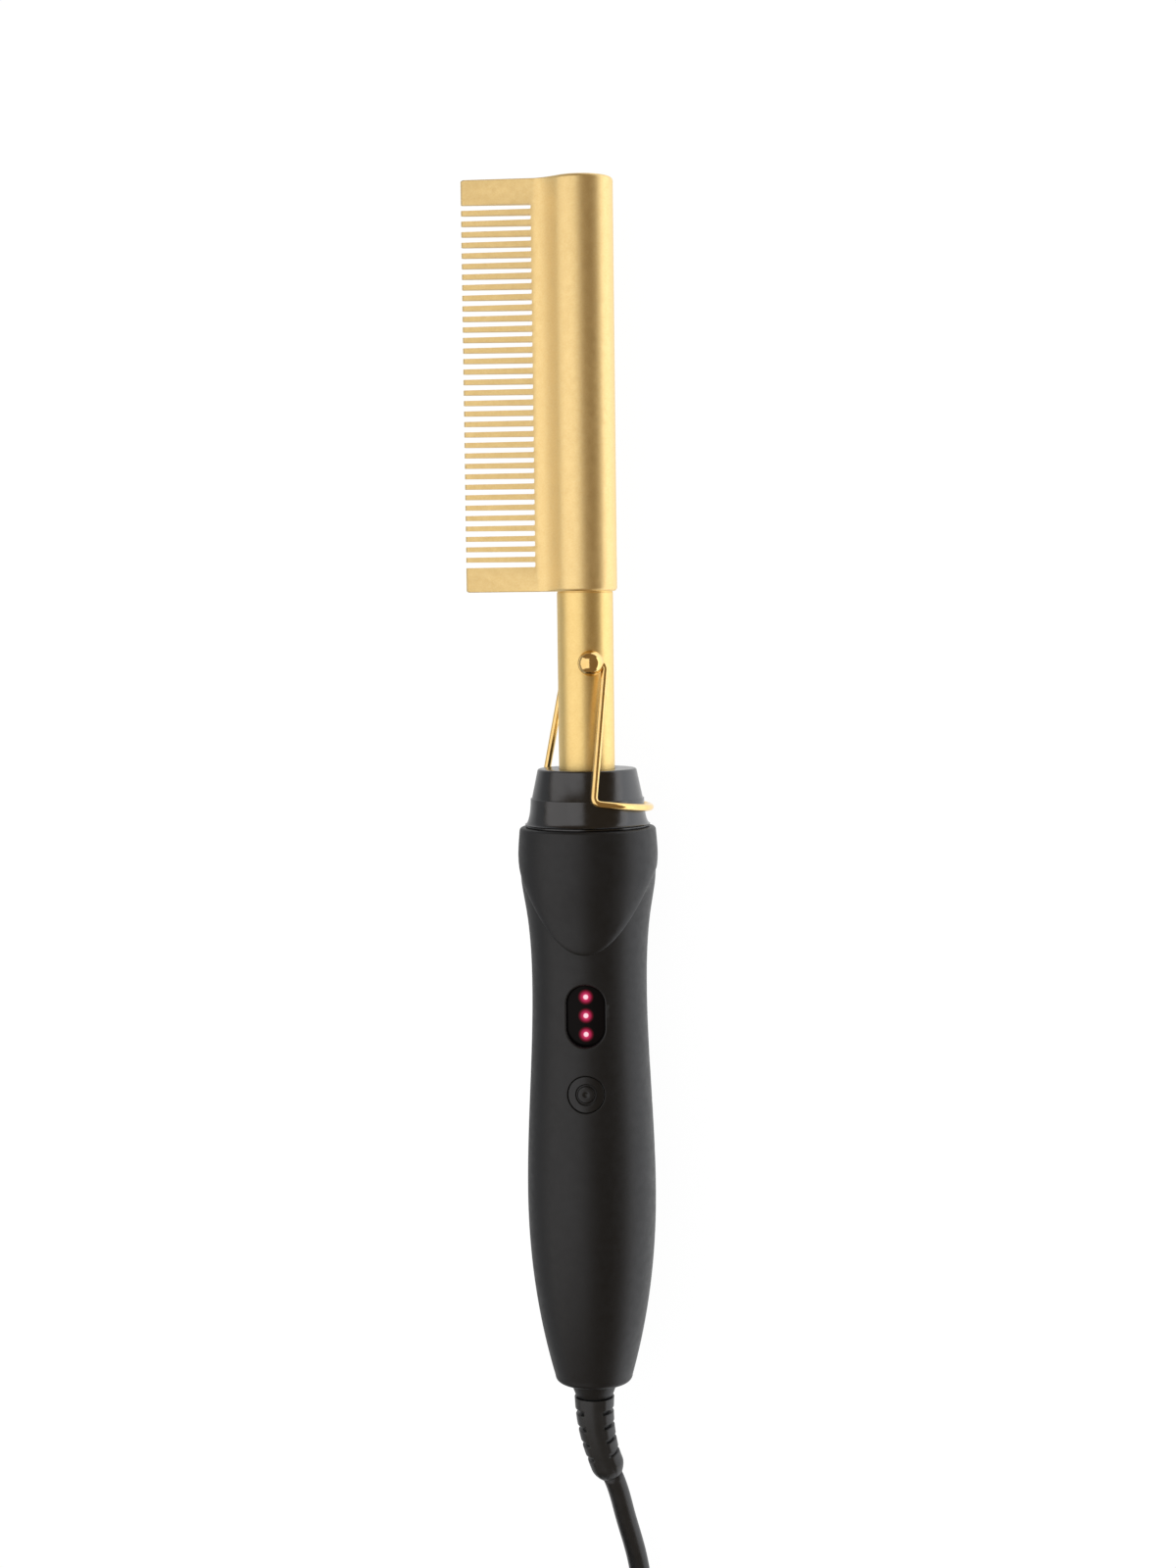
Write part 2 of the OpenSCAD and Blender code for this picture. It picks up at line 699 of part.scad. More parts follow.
module indicator_lamps() color("#e03050") lay() for (i = [-1 : 1])
    frontwards(window_h + i * led_pitch) {
        translate([0, 0, board_face]) cylinder(r = led_r, h = lamp_top - led_r - board_face, $fn = 32);
        translate([0, 0, lamp_top - led_r]) sphere(r = led_r, $fn = 32);
    }

flange_front = button_seat - fit;
flange_t = 0.9;
switch_top = 9.2;
plunger_top = 9.9;
symbol_r = 2.3;

module power_button() color(dark) lay() difference() {
    union() {
        intersection() {
            frontwards(button_h) translate([0, 0, flange_front - flange_t])
                cylinder(r = button_r, h = far);
            translate([0, 0, button_h - guide_r]) cylinder(r1 = grip_r(button_h - guide_r) - 0.1,
                r2 = grip_r(button_h + guide_r) - 0.1, h = 2 * guide_r, $fn = 96);
        }
        frontwards(button_h) {
            translate([0, 0, flange_front - flange_t])
                cylinder(r = button_r + button_flange, h = flange_t);
            translate([0, 0, plunger_top]) cylinder(r = 1.5, h = 2, $fn = 32);
        }
    }
    frontwards(button_h) translate([0, 0, grip_r(button_h) - 0.4])
        tube_ring(symbol_r + 0.25, symbol_r - 0.25, 2);
}

plunger_r = 1.7;
plunger_low = 8.45;

module switch_plunger() color("#c8c8c8") lay() frontwards(button_h)
    translate([0, 0, plunger_low]) cylinder(r = plunger_r, h = plunger_top - plunger_low, $fn = 32);

module push_switch() color("#404044") lay() frontwards(button_h) difference() {
    translate([-3, -3, board_face]) cube([6, 6, switch_top - board_face]);
    translate([0, 0, plunger_low - button_travel - 0.1])
        cylinder(r = plunger_r + fit, h = 4, $fn = 32);
}

// Circuit board and what it carries

board_back = board_face - board_t;
board_screw_r = 0.9;
board_screw_cap_r = 1.7;
board_screw_cap_t = 1.2;
board_screw_bite = 3.5;

module circuit_board() color("#2c6b3c") lay() difference() {
    translate([-board_w / 2, -board_face, board_low_h]) cube([board_w, board_t, board_len]);
    for (h = board_screw_heights)
        frontwards(h) cylinder(r = board_screw_r + 0.1, h = far, $fn = 32);
}

module board_screws() color(steel) lay() for (h = board_screw_heights) frontwards(h) {
    translate([0, 0, board_back - board_screw_cap_t])
        cylinder(r = board_screw_cap_r, h = board_screw_cap_t, $fn = 32);
    translate([0, 0, board_back])
        cylinder(r = board_screw_r, h = board_t + board_screw_bite, $fn = 32);
}

module control_chip() color(dark) lay()
    translate([-3, -board_back, board_low_h + 34]) cube([6, 1.6, 8]);

module triac() color(dark) lay() {
    translate([-5, -board_back, board_low_h + 8]) cube([10, 4.4, 9]);
    for (x = [-2.5, 0, 2.5]) translate([x - 0.4, -board_back, board_low_h + 16.9])
        cube([0.8, 1, 4]);
}

module filter_capacitor() color("#1f3a66") lay()
    translate([-6, -board_back, board_low_h + 24]) cube([12, 6, 7]);

lead_x = 4.5;
lead_y = -1.5;
lead_r = 0.9;
sensor_lead_r = 0.35;

board_high_h = board_low_h + board_len;
solder_drop = 7;
sensor_lead_x = 4.1;
sensor_lead_y = -3.4;
sensor_foot_x = 2.2;
sensor_wire_gap = 1.4;

module heater_leads() color("#a03020") lay() for (side = [-1, 1])
    lead([[side * lead_x, -board_back, board_high_h - solder_drop],
            [side * lead_x, -board_back + 1.5 * lead_r, board_high_h - solder_drop + lead_r / 3],
            [side * lead_x, -board_back + 2.8 * lead_r, board_high_h - solder_drop + 2 * lead_r],
            [side * lead_x, lead_y, board_high_h],
            [side * lead_x, lead_y, tube_high_h - tube_r],
            [side * 3.3 * lead_r, -2.1 * lead_r, heater_h - 4 * lead_r],
            [side * 3.3 * lead_r, -2.1 * lead_r, heater_h - pilot_fit]], lead_r);

module sensor_leads() color("#d8d8d0") lay() for (side = [-1, 1])
    lead([[side * sensor_foot_x, -board_back, board_high_h - solder_drop],
            [side * sensor_foot_x, -board_back + 2 * sensor_lead_r,
                board_high_h - solder_drop + sensor_lead_r],
            [side * sensor_foot_x, -board_back + 3 * sensor_lead_r,
                board_high_h - solder_drop + 3 * sensor_lead_r],
            [side * sensor_lead_x, sensor_lead_y, board_high_h + solder_drop / 3],
            [side * sensor_lead_x, sensor_lead_y, tube_high_h - tube_r],
            [side * sensor_wire_gap / 2, 0, heater_h - sensor_len - sensor_wire_gap],
            [side * sensor_wire_gap / 2, 0, heater_h - sensor_len - pilot_fit]], sensor_lead_r);

// Swivel: carrier and springs stay in the handle, rings turn with the cord

low_ring_r = 6.0;
high_ring_r = 5.0;
spindle_r = 3.6;
low_ring_h = 12.5;
high_ring_h = 19;
ring_t = 3;
strip_t = 0.4;
strip_w = 4;
strips = [[1, high_ring_r + 0.1, high_ring_h - 0.5], [-1, low_ring_r + 0.1, low_ring_h - 0.5]];
strip_top_h = carrier_h + carrier_t + 1;

module strip(side, x, low, grow = 0) {
    translate([side > 0 ? x - grow : -x - strip_t - grow, -strip_w / 2 - grow, low])
        cube([strip_t + 2 * grow, strip_w + 2 * grow, strip_top_h - low]);
}

module contact_springs() color(copper) lay()
    for (s = strips) strip(s[0], s[1], s[2]);

module contact_carrier() color("#505058") lay() difference() {
    translate([0, 0, carrier_h]) cylinder(r = carrier_r, h = carrier_t);
    translate([0, 0, carrier_h - 1]) cylinder(r = 2, h = carrier_t + 2);
    for (s = strips) strip(s[0], s[1], s[2], 0.03);
}

module slip_rings() color(copper) lay() {
    translate([0, 0, low_ring_h]) tube_ring(low_ring_r, spindle_r + pilot_fit, ring_t);
    translate([0, 0, high_ring_h]) tube_ring(high_ring_r, spindle_r + pilot_fit, ring_t);
}

module mains_leads() color("#3060a0") lay() for (s = strips)
    lead([[s[0] * lead_x, -board_back, board_low_h + solder_drop],
            [s[0] * lead_x, -board_back + 1.5 * lead_r, board_low_h + solder_drop - lead_r / 3],
            [s[0] * lead_x, -board_back + 2.8 * lead_r, board_low_h + solder_drop - 2 * lead_r],
            [s[0] * lead_x, lead_y, board_low_h],
            [s[0] * (s[1] + strip_t / 2), 0, strip_top_h + 5 * lead_r],
            [s[0] * (s[1] + strip_t / 2), 0, strip_top_h + pilot_fit]], lead_r);

relief_spigot_r = 3.0;

module swivel_socket() color(black) lay() difference() {
    rotate_extrude($fn = 96) polygon([[0, -cone_len], [cone_end_r, -cone_len], [journal_r, 0],
        [journal_r, bottom_wall + fit], [swivel_flange_r, bottom_wall + fit],
        [swivel_flange_r, bottom_wall + fit + swivel_flange_t],
        [spindle_r, bottom_wall + fit + swivel_flange_t], [spindle_r, carrier_h - 1.2],
        [0, carrier_h - 1.2]]);
    translate([0, 0, -cone_len - 1]) cylinder(r = relief_spigot_r + pilot_fit, h = cone_len + 1);
}

// Strain relief: a bent core with ribs, from a short straight neck

relief_neck = 1.0;
rib_t = 2.9;
rib_step = 3.85;

module along_relief(d) {
    a = max(0, d - relief_neck) / relief_bend_r * 180 / PI;
    rotate([0, 0, relief_turn])
        translate([relief_bend_r * (1 - cos(a)), 0,
                -cone_len - min(d, relief_neck) - relief_bend_r * sin(a)])
            rotate([0, 180 - a, 0]) children();
}

module strain_relief() color(black) lay() {
    translate([0, 0, -cone_len - relief_neck]) cylinder(r = relief_spigot_r,
        h = cone_len + relief_neck - 0.2);
    along_relief(0) cylinder(r = relief_core_r, h = relief_neck);
    rotate([0, 0, relief_turn]) translate([relief_bend_r, 0, -cone_len - relief_neck])
        rotate([90, 0, 0]) rotate([0, 0, 180])
            rotate_extrude(angle = relief_bend, $fn = 96)
                translate([relief_bend_r, 0]) circle(r = relief_core_r);
    for (i = [0 : rib_count - 1]) let (r = relief_top_r
            + (relief_end_r - relief_top_r) * i / (rib_count - 1))
        along_relief(i * rib_step) cylinder(r = r, h = rib_t);
}

// Mains cord, in the row frame

cord_r = cord_d / 2;
low_z = tie_t + cord_r;
relief_offset = relief_bend_r * (1 - cos(relief_bend));
relief_end = [axis_x + relief_offset * cos(relief_turn),
    -total_len / 2 - cone_len - relief_neck - relief_bend_r * sin(relief_bend),
    lie_h - relief_offset * sin(relief_turn)];
relief_way = [sin(relief_bend) * cos(relief_turn), -cos(relief_bend),
    -sin(relief_bend) * sin(relief_turn)];
coil_out_r = coil_in_r + layer_turns * coil_step;
// Free stretch between the strain relief and the coil, which lies flat past the handle
free_route = [[13.4, -187.2, 11.8], [16.0, -199.4, 8.4], [17.2, -211.8, 5.7], [17.6, -224.8, 3.9],
    [17.5, -238.2, 3.4]];
coil_entry = free_route[len(free_route) - 1];
coil_centre = [coil_entry.x - coil_out_r, coil_entry.y - cord_d, 0];

module power_cord() color(dark)
    swept(concat([relief_end], free_route), cord_r, 10, relief_way, [0, -1, 0]);

// The coil winds in and out again, and climbs a layer in the half turn round each reversal

rings_per_turn = 24;

function coil_r(turn) =
    let (phase = turn / layer_turns, layer = floor(phase), part = phase - layer)
    coil_in_r + (coil_out_r - coil_in_r) * (layer % 2 == 0 ? 1 - part : part);

function coil_climb(turn) =
    let (nearest = round(turn / layer_turns), off = turn - nearest * layer_turns)
    nearest == 0 ? 0 : nearest - 0.5 + max(-0.5, min(0.5, off * 2));

coil_rings = coil_turns * rings_per_turn;
coil_points = [for (i = [0 : coil_rings]) let (turn = i / rings_per_turn, r = coil_r(turn))
    coil_centre + [r * cos(-360 * turn), r * sin(-360 * turn),
        low_z + coil_step * coil_climb(turn)]];
coil_end_way = [0, 1, 0];
coil_end = coil_points[coil_rings] + cord_d * coil_end_way;
coil_path = concat([coil_entry], coil_points, [coil_end]);

coil_gap = min([for (i = [0 : coil_rings - 12], j = [i + 12 : coil_rings])
    norm(coil_points[i] - coil_points[j])]) - cord_d;
echo(least_gap_between_turns = coil_gap);

module cord_coil() color(dark) swept(coil_path, cord_r, 6, [0, -1, 0], coil_end_way);

// Tail from the coil's top layer over to the plug that lies on the coil, from the coil's centre

coil_top = low_z + 3 * coil_step + cord_r;
plug_z = coil_top + 0.1 + plug_t / 2;
tail_route = [[-26.8, 16.5, 21.5], [-19.5, 26.0, 23.2], [-9.0, 31.8, 25.3], [2.8, 31.5, 27.3],
    [13.0, 25.5, 28.9], [19.5, 16.0, 29.8]];
plug_entry = coil_centre + [21.5, 5, plug_z];

module cord_tail() color(dark)
    swept(concat([coil_end], [for (p = tail_route) coil_centre + p], [plug_entry]),
        cord_r, 8, coil_end_way, [0, -1, 0]);

// Tie round the coil's bundle, opposite the climbs

tie_angle = 218;
tie_low_r = 17.9;
tie_high_r = coil_out_r + cord_r + run_gap;

module cord_tie() color("#303034") translate(coil_centre) rotate([0, 0, tie_angle])
    difference() {
        translate([tie_low_r - tie_t, -tie_w / 2, 0])
            cube([tie_high_r - tie_low_r + 2 * tie_t, tie_w, coil_top + run_gap + tie_t]);
        translate([tie_low_r, -tie_w, tie_t])
            cube([tie_high_r - tie_low_r, 2 * tie_w, coil_top + run_gap - tie_t]);
    }

// Plug: a flat two-pin body, drawn from the cord's end towards -Y

module plug_place() {
    translate(plug_entry) rotate([90, 0, 0]) children();
}

plug_corner_r = 3;
plug_neck_w = 13;

module plug_outline() {
    half = plug_w / 2;
    shoulder = plug_len * 0.45;
    polygon([[-plug_neck_w / 2, 0], [plug_neck_w / 2, 0], [half, shoulder],
        [half, plug_len - plug_corner_r], [half - plug_corner_r, plug_len],
        [-half + plug_corner_r, plug_len], [-half, plug_len - plug_corner_r], [-half, shoulder]]);
    for (side = [-1, 1])
        translate([side * (half - plug_corner_r), plug_len - plug_corner_r])
            circle(r = plug_corner_r);
}

module plug_body() color(dark) plug_place() difference() {
    union() {
        cylinder(r1 = cord_r + 0.9, r2 = plug_neck_w / 2 - 0.8, h = plug_relief_len);
        translate([0, plug_t / 2, plug_relief_len]) rotate([90, 0, 0])
            linear_extrude(plug_t) plug_outline();
    }
    translate([0, 0, -1]) cylinder(r = 1, h = 2);
    for (side = [-1, 1]) translate([side * pin_spacing / 2, 0, plug_relief_len + plug_len - 6])
        cylinder(r = pin_core_r + pilot_fit, h = 7, $fn = 32);
}

pin_core_r = 1.4;
pin_sleeve_r = 1.7;
pin_base = plug_relief_len + plug_len;

module plug_pins() color(steel) plug_place() for (side = [-1, 1])
    translate([side * pin_spacing / 2, 0, 0]) {
        translate([0, 0, pin_base - 6]) cylinder(r = pin_core_r, h = pin_sleeve_len + 7, $fn = 32);
        translate([0, 0, pin_base + pin_sleeve_len])
            cylinder(r = pin_r, h = pin_len - pin_sleeve_len - pin_r, $fn = 32);
        translate([0, 0, pin_base + pin_len - pin_r]) sphere(r = pin_r, $fn = 32);
    }

module pin_sleeves() color(dark) plug_place() for (side = [-1, 1])
    translate([side * pin_spacing / 2, 0, pin_base])
        tube_ring(pin_sleeve_r, pin_core_r + pilot_fit, pin_sleeve_len - 0.02);

comb_head();
heater_shoes();
heating_plates();
heater_sleeve();
temperature_sensor();
neck_tube();
neck_pin();
stand_wire();
stand_screws();
stand_nuts();
nose_collar();
front_shell();
rear_shell();
shell_screws();
indicator_lens();
indicator_lamps();
power_button();
switch_plunger();
push_switch();
circuit_board();
board_screws();
control_chip();
triac();
filter_capacitor();
heater_leads();
sensor_leads();
mains_leads();
contact_carrier();
contact_springs();
slip_rings();
swivel_socket();
strain_relief();
power_cord();
cord_coil();
cord_tail();
cord_tie();
plug_body();
plug_pins();
pin_sleeves();
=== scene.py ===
import json
import math

import bmesh
import bpy
import numpy as np
from mathutils import Matrix, Vector, geometry


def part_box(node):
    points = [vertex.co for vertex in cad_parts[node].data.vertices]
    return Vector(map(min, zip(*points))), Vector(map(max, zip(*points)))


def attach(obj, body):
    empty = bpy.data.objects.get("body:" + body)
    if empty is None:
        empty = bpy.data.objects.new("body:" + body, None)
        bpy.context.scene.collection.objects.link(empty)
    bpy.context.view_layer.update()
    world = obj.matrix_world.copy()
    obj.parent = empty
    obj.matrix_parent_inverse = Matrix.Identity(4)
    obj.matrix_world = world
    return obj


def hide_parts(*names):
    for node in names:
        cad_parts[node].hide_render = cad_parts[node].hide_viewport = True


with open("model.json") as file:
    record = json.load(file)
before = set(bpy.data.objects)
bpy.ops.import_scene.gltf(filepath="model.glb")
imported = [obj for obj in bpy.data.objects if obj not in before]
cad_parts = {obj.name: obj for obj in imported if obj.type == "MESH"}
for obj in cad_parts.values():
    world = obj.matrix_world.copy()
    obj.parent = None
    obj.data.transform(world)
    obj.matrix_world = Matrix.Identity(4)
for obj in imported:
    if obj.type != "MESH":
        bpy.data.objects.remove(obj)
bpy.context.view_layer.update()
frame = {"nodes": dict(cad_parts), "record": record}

# Frame: heights run up the tool from the handle's lower end, x towards the spine, y towards the back

MM = 0.001
tube_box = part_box("neck_tube")
shell_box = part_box("front_shell")
collar_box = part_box("nose_collar")
head_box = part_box("comb_head")
AXIS_X = (tube_box[0].x + tube_box[1].x) / 2
AXIS_Z = (tube_box[0].z + tube_box[1].z) / 2
FOOT_Y = shell_box[0].y


def height(y):
    """Height in millimetres of a row-frame y."""
    return (y - FOOT_Y) / MM


def spot(x, y, h):
    """Row-frame point of a place on the upright tool, given in millimetres."""
    return Vector((AXIS_X + x * MM, FOOT_Y + h * MM, AXIS_Z - y * MM))


HANDLE_TOP = height(shell_box[1].y)
COLLAR_TOP = height(collar_box[1].y)
HEAD_LOW = height(head_box[0].y)
HEAD_TOP = height(head_box[1].y)

scene = bpy.context.scene
scene.view_settings.view_transform = "Standard"

# Camera: square to the tool's axis, turned a little to the spine's side and looking towards the handle

CAMERA_DISTANCE = 620
CAMERA_DROP = 102.2
CAMERA_HEIGHT = HEAD_TOP - CAMERA_DROP
CAMERA_TURN = math.radians(4.5)
CAMERA_PITCH = math.radians(4.2)
CAMERA_ROLL = math.radians(0.68)
CAMERA_SIDE = 0.2
FOCAL_PIXELS = 2565
PICTURE_HEIGHT = 1600
SENSOR_WIDTH = 36

camera_data = bpy.data.cameras.new("camera")
camera_data.sensor_fit = "AUTO"
camera_data.sensor_width = SENSOR_WIDTH
camera_data.lens = SENSOR_WIDTH * FOCAL_PIXELS / PICTURE_HEIGHT
camera_data.clip_start = 0.01
camera_data.clip_end = 10
camera = bpy.data.objects.new("camera", camera_data)
scene.collection.objects.link(camera)
scene.camera = camera
away = Vector((math.sin(CAMERA_TURN), 0, math.cos(CAMERA_TURN)))
right = Vector((math.cos(CAMERA_TURN), 0, -math.sin(CAMERA_TURN)))
up = Vector((0, 1, 0))
look = (-away * math.cos(CAMERA_PITCH) - up * math.sin(CAMERA_PITCH)).normalized()
axes = Matrix((right, right.cross(look), -look)).transposed()
roll = Matrix.Rotation(CAMERA_ROLL, 3, look)
stand_point = spot(0, 0, CAMERA_HEIGHT) + away * CAMERA_DISTANCE * MM + right * CAMERA_SIDE * MM
camera.matrix_world = Matrix.Translation(stand_point) @ (roll @ axes).to_4x4()


# Mains cord: the route of part.scad, in millimetres of the row frame

CORD_D = 5.2
CORD_STEP = 1.5
COIL_STEP = 5.7
COIL_IN = 21.6
LAYER_TURNS = 2
COIL_TURNS = 7.5
CLIMBS = 3
COIL_OUT = COIL_IN + LAYER_TURNS * COIL_STEP
RINGS_PER_TURN = 48
TIE_T = 0.8
LOW_Z = TIE_T + CORD_D / 2
CONE_LEN = 4.2
RELIEF_NECK = 1.0
RELIEF_BEND_R = 45
RELIEF_BEND = math.radians(26)
RELIEF_TURN = math.radians(28)
RELIEF_LEN = RELIEF_NECK + RELIEF_BEND_R * RELIEF_BEND
FREE_ROUTE = [(13.4, -187.2, 11.8), (16.0, -199.4, 8.4), (17.2, -211.8, 5.7), (17.6, -224.8, 3.9),
              (17.5, -238.2, 3.4)]
TAIL_ROUTE = [(-26.8, 16.5, 21.5), (-19.5, 26.0, 23.2), (-9.0, 31.8, 25.3), (2.8, 31.5, 27.3),
              (13.0, 25.5, 28.9), (19.5, 16.0, 29.8)]
PLUG_OFFSET = (21.5, 5)
PLUG_T = 13.7
PLUG_LIFT = 0.1
COIL_TOP = LOW_Z + CLIMBS * COIL_STEP + CORD_D / 2
PLUG_Z = COIL_TOP + PLUG_LIFT + PLUG_T / 2


def curve(a, b, u, v, t):
    """Smooth curve from a to b that leaves along u and arrives along v."""
    return (a * (2 * t**3 - 3 * t**2 + 1) + b * (3 * t**2 - 2 * t**3)
            + u * (t**3 - 2 * t**2 + t) + v * (t**3 - t**2))


def smooth_step(t):
    """Even rise from 0 to 1 that starts and ends level."""
    t = min(1.0, max(0.0, t))
    return t * t * (3 - 2 * t)


def smooth_path(points, first_way, last_way):
    """Points at even steps along a smooth curve through the given points, with set end headings."""
    points = [Vector(p) for p in points]
    ways = [(points[i + 1] - points[i - 1]).normalized() for i in range(1, len(points) - 1)]
    ways = [Vector(first_way).normalized()] + ways + [Vector(last_way).normalized()]
    out = []
    for a, b, u, v in zip(points, points[1:], ways, ways[1:]):
        run = (b - a).length
        count = max(2, round(run / CORD_STEP))
        out += [curve(a, b, u * run, v * run, i / count) for i in range(count)]
    return out + [points[-1]]


def along_relief(d):
    """Point in millimetres and heading of the strain relief's centreline, d from its upper end."""
    a = max(0.0, d - RELIEF_NECK) / RELIEF_BEND_R
    off = RELIEF_BEND_R * (1 - math.cos(a))
    side = Vector((math.cos(RELIEF_TURN), math.sin(RELIEF_TURN), 0))
    drop = CONE_LEN + min(d, RELIEF_NECK) + RELIEF_BEND_R * math.sin(a)
    point = side * off - Vector((0, 0, drop))
    way = side * math.sin(a) - Vector((0, 0, math.cos(a)))
    return spot(point.x, point.y, point.z) / MM, Vector((way.x, way.z, -way.y))


def coil_radius(turn):
    """Radius in a flat spiral that runs inwards in one layer and outwards in the next."""
    layer, part = divmod(turn / LAYER_TURNS, 1)
    return COIL_IN + (COIL_OUT - COIL_IN) * (1 - part if layer % 2 == 0 else part)


def coil_rise(turn):
    """Layers climbed: one in the half turn round each reversal of the spiral."""
    nearest = round(turn / LAYER_TURNS)
    if nearest == 0:
        return 0.0
    return nearest - 1 + smooth_step((turn - nearest * LAYER_TURNS) * 2 + 0.5)


def coil_point(turn):
    r, a = coil_radius(turn), -2 * math.pi * turn
    return coil_centre + Vector((r * math.cos(a), r * math.sin(a), LOW_Z + COIL_STEP * coil_rise(turn)))


relief_end, relief_heading = along_relief(RELIEF_LEN)
coil_entry = Vector(FREE_ROUTE[-1])
coil_centre = Vector((coil_entry.x - COIL_OUT, coil_entry.y - CORD_D, 0))
coil_points = [coil_point(i / RINGS_PER_TURN) for i in range(round(COIL_TURNS * RINGS_PER_TURN) + 1)]
coil_end = coil_points[-1] + Vector((0, CORD_D, 0))
plug_entry = coil_centre + Vector((*PLUG_OFFSET, PLUG_Z))
tail = [coil_end] + [coil_centre + Vector(p) for p in TAIL_ROUTE] + [plug_entry]
cord_route = smooth_path([relief_end] + FREE_ROUTE, relief_heading, (0, -1, 0))
cord_route += coil_points
cord_route += smooth_path(tail, (0, 1, 0), (0, -1, 0))


# Shapes shared with part.scad, in millimetres

SPINE_R = 7.95
TEETH_REACH = 29.2
TIP_R = 0.8
ROOT_R = 1.4
TIP_BEVEL = 0.35
SPINE_JOIN = math.radians(45)
SLOT_ROOT = 12.0
SLOT_PITCH = 2.553
SLOT_COUNT = 35
TUBE_R = 6.9
PIVOT_DROP = 17.5
STAND_CLOCK = math.radians(13)
STAND_LEAN = math.radians(7.5)
STAND_DROP = 33.8
FOOT_R = 15.7
LEG_OFFSET = 3.6
REAR_LEG_SHIFT = 1.0
EYELET_R = 2.3
WIRE_R = 0.875
DOME_R, DOME_H = 3.0, 1.9
END_R = 9.3
PALM_R, PALM_H = 16.0, 48.5
WAIST_R, WAIST_DROP = 14.25, 40
BULGE_R, BULGE_DROP = 16.75, 8
RIM_R = BULGE_R - 0.5
SHOULDER_RISE = 0.55
TONGUE_LEN, TONGUE_CURVE = 30.3, 0.07
WALL = 2.0
BOTTOM_WALL = 6
BOTTOM_EDGE, TOP_EDGE = 1.5, 0.9
JOURNAL_R = 6.0
WINDOW_DROP, WINDOW_W, WINDOW_LEN = 45.3, 9.5, 15.3
WINDOW_H = HANDLE_TOP - WINDOW_DROP
LENS_FACE, LENS_T = 12.5, 1.4
LED_PITCH = 4.6
BUTTON_DROP, BUTTON_R, BUTTON_SEAT = 64.4, 4.5, 12.2
BUTTON_H = HANDLE_TOP - BUTTON_DROP
SCREW_HEIGHTS = (38, HANDLE_TOP - 20)
WELL_R, SCREW_SEAT = 2.8, 8
COLLAR_TOP_R, COLLAR_MID_R, COLLAR_FOOT_R = 12.3, 13.7, 15.5
LEDGE_H, LEDGE_W = 7.1, 0.35
CONE_END_R = 4.6
RIB_COUNT, RIB_T, RIB_STEP = 5, 2.9, 3.85
RELIEF_TOP_R, RELIEF_END_R, RELIEF_CORE_R = 5.0, 4.2, 3.6
TIE_ANGLE = math.radians(218)
TIE_LOW_R, TIE_W, TIE_GAP = 17.9, 12, 0.3
PLUG_W, PLUG_LEN, PLUG_RELIEF_LEN = 35.3, 36, 11
PLUG_CORNER_R, PLUG_NECK_W = 3, 13
PIN_SPACING, PIN_LEN, PIN_SLEEVE_LEN = 18.6, 19, 10
PIN_CORE_R, PIN_SLEEVE_R, PIN_R = 1.4, 1.7, 2.0


# Mesh makers

def make_piece(name, points, faces, smooth=True, tidy=True):
    """Mesh object from row-frame points in metres; tidy merges doubles and turns the faces outwards."""
    mesh = bpy.data.meshes.new(name)
    mesh.from_pydata([tuple(p) for p in points], [], faces)
    if tidy:
        work = bmesh.new()
        work.from_mesh(mesh)
        bmesh.ops.remove_doubles(work, verts=work.verts, dist=1e-7)
        bmesh.ops.recalc_face_normals(work, faces=work.faces)
        work.to_mesh(mesh)
        work.free()
    mesh.polygons.foreach_set("use_smooth", [smooth] * len(mesh.polygons))
    mesh.update()
    piece = bpy.data.objects.new(name, mesh)
    scene.collection.objects.link(piece)
    return piece


def ring_faces(rings, sides, closed=False):
    """Quads between successive rings of points; closed joins the last ring to the first."""
    faces = [(i * sides + j, i * sides + (j + 1) % sides, (i + 1) * sides + (j + 1) % sides,
              (i + 1) * sides + j) for i in range(rings - 1) for j in range(sides)]
    if closed:
        last = (rings - 1) * sides
        faces += [(last + j, last + (j + 1) % sides, (j + 1) % sides, j) for j in range(sides)]
    return faces


def end_caps(rings, sides):
    """The two faces that close the first and the last ring."""
    last = (rings - 1) * sides
    return [tuple(range(sides)), tuple(range(last, last + sides))]


def circle(sides):
    """Cosine and sine at even steps round a circle."""
    turns = [2 * math.pi * j / sides for j in range(sides)]
    return [(math.cos(a), math.sin(a)) for a in turns]


def carried_frames(path):
    """Headings and a side vector carried along a path without twisting."""
    ways = [(path[min(i + 1, len(path) - 1)] - path[max(i - 1, 0)]).normalized()
            for i in range(len(path))]
    side = ways[0].orthogonal().normalized()
    frames = []
    for way in ways:
        side = (side - way * side.dot(way)).normalized()
        frames.append((side, way.cross(side)))
    return frames


def tube(name, path, radius, sides):
    """Tube along row-frame points in millimetres."""
    around = circle(sides)
    points = [(p + radius * (c * side + s * lift)) * MM
              for p, (side, lift) in zip(path, carried_frames(path)) for c, s in around]
    return make_piece(name, points, ring_faces(len(path), sides) + end_caps(len(path), sides))


POLE_R = 1e-6


def turned(name, profile, sides, place=spot, closed=False):
    """Piece turned from (radius, distance) points that end on the axis or make a closed loop."""
    around = circle(sides)
    points = [place(max(r, POLE_R) * c, max(r, POLE_R) * s, d) for r, d in profile for c, s in around]
    return make_piece(name, points, ring_faces(len(profile), sides, closed))


def arc_corner(r, h, edge, turn_from, turn_to, steps=5):
    """Points of a rounded corner round the centre (r, h)."""
    return [(r + edge * math.cos(math.radians(a)), h + edge * math.sin(math.radians(a)))
            for a in np.linspace(turn_from, turn_to, steps)]


def crisp(piece, degrees=32):
    """Keeps edges sharper than an angle crisp under smooth shading."""
    piece.data.set_sharp_from_angle(angle=math.radians(degrees))
    return piece


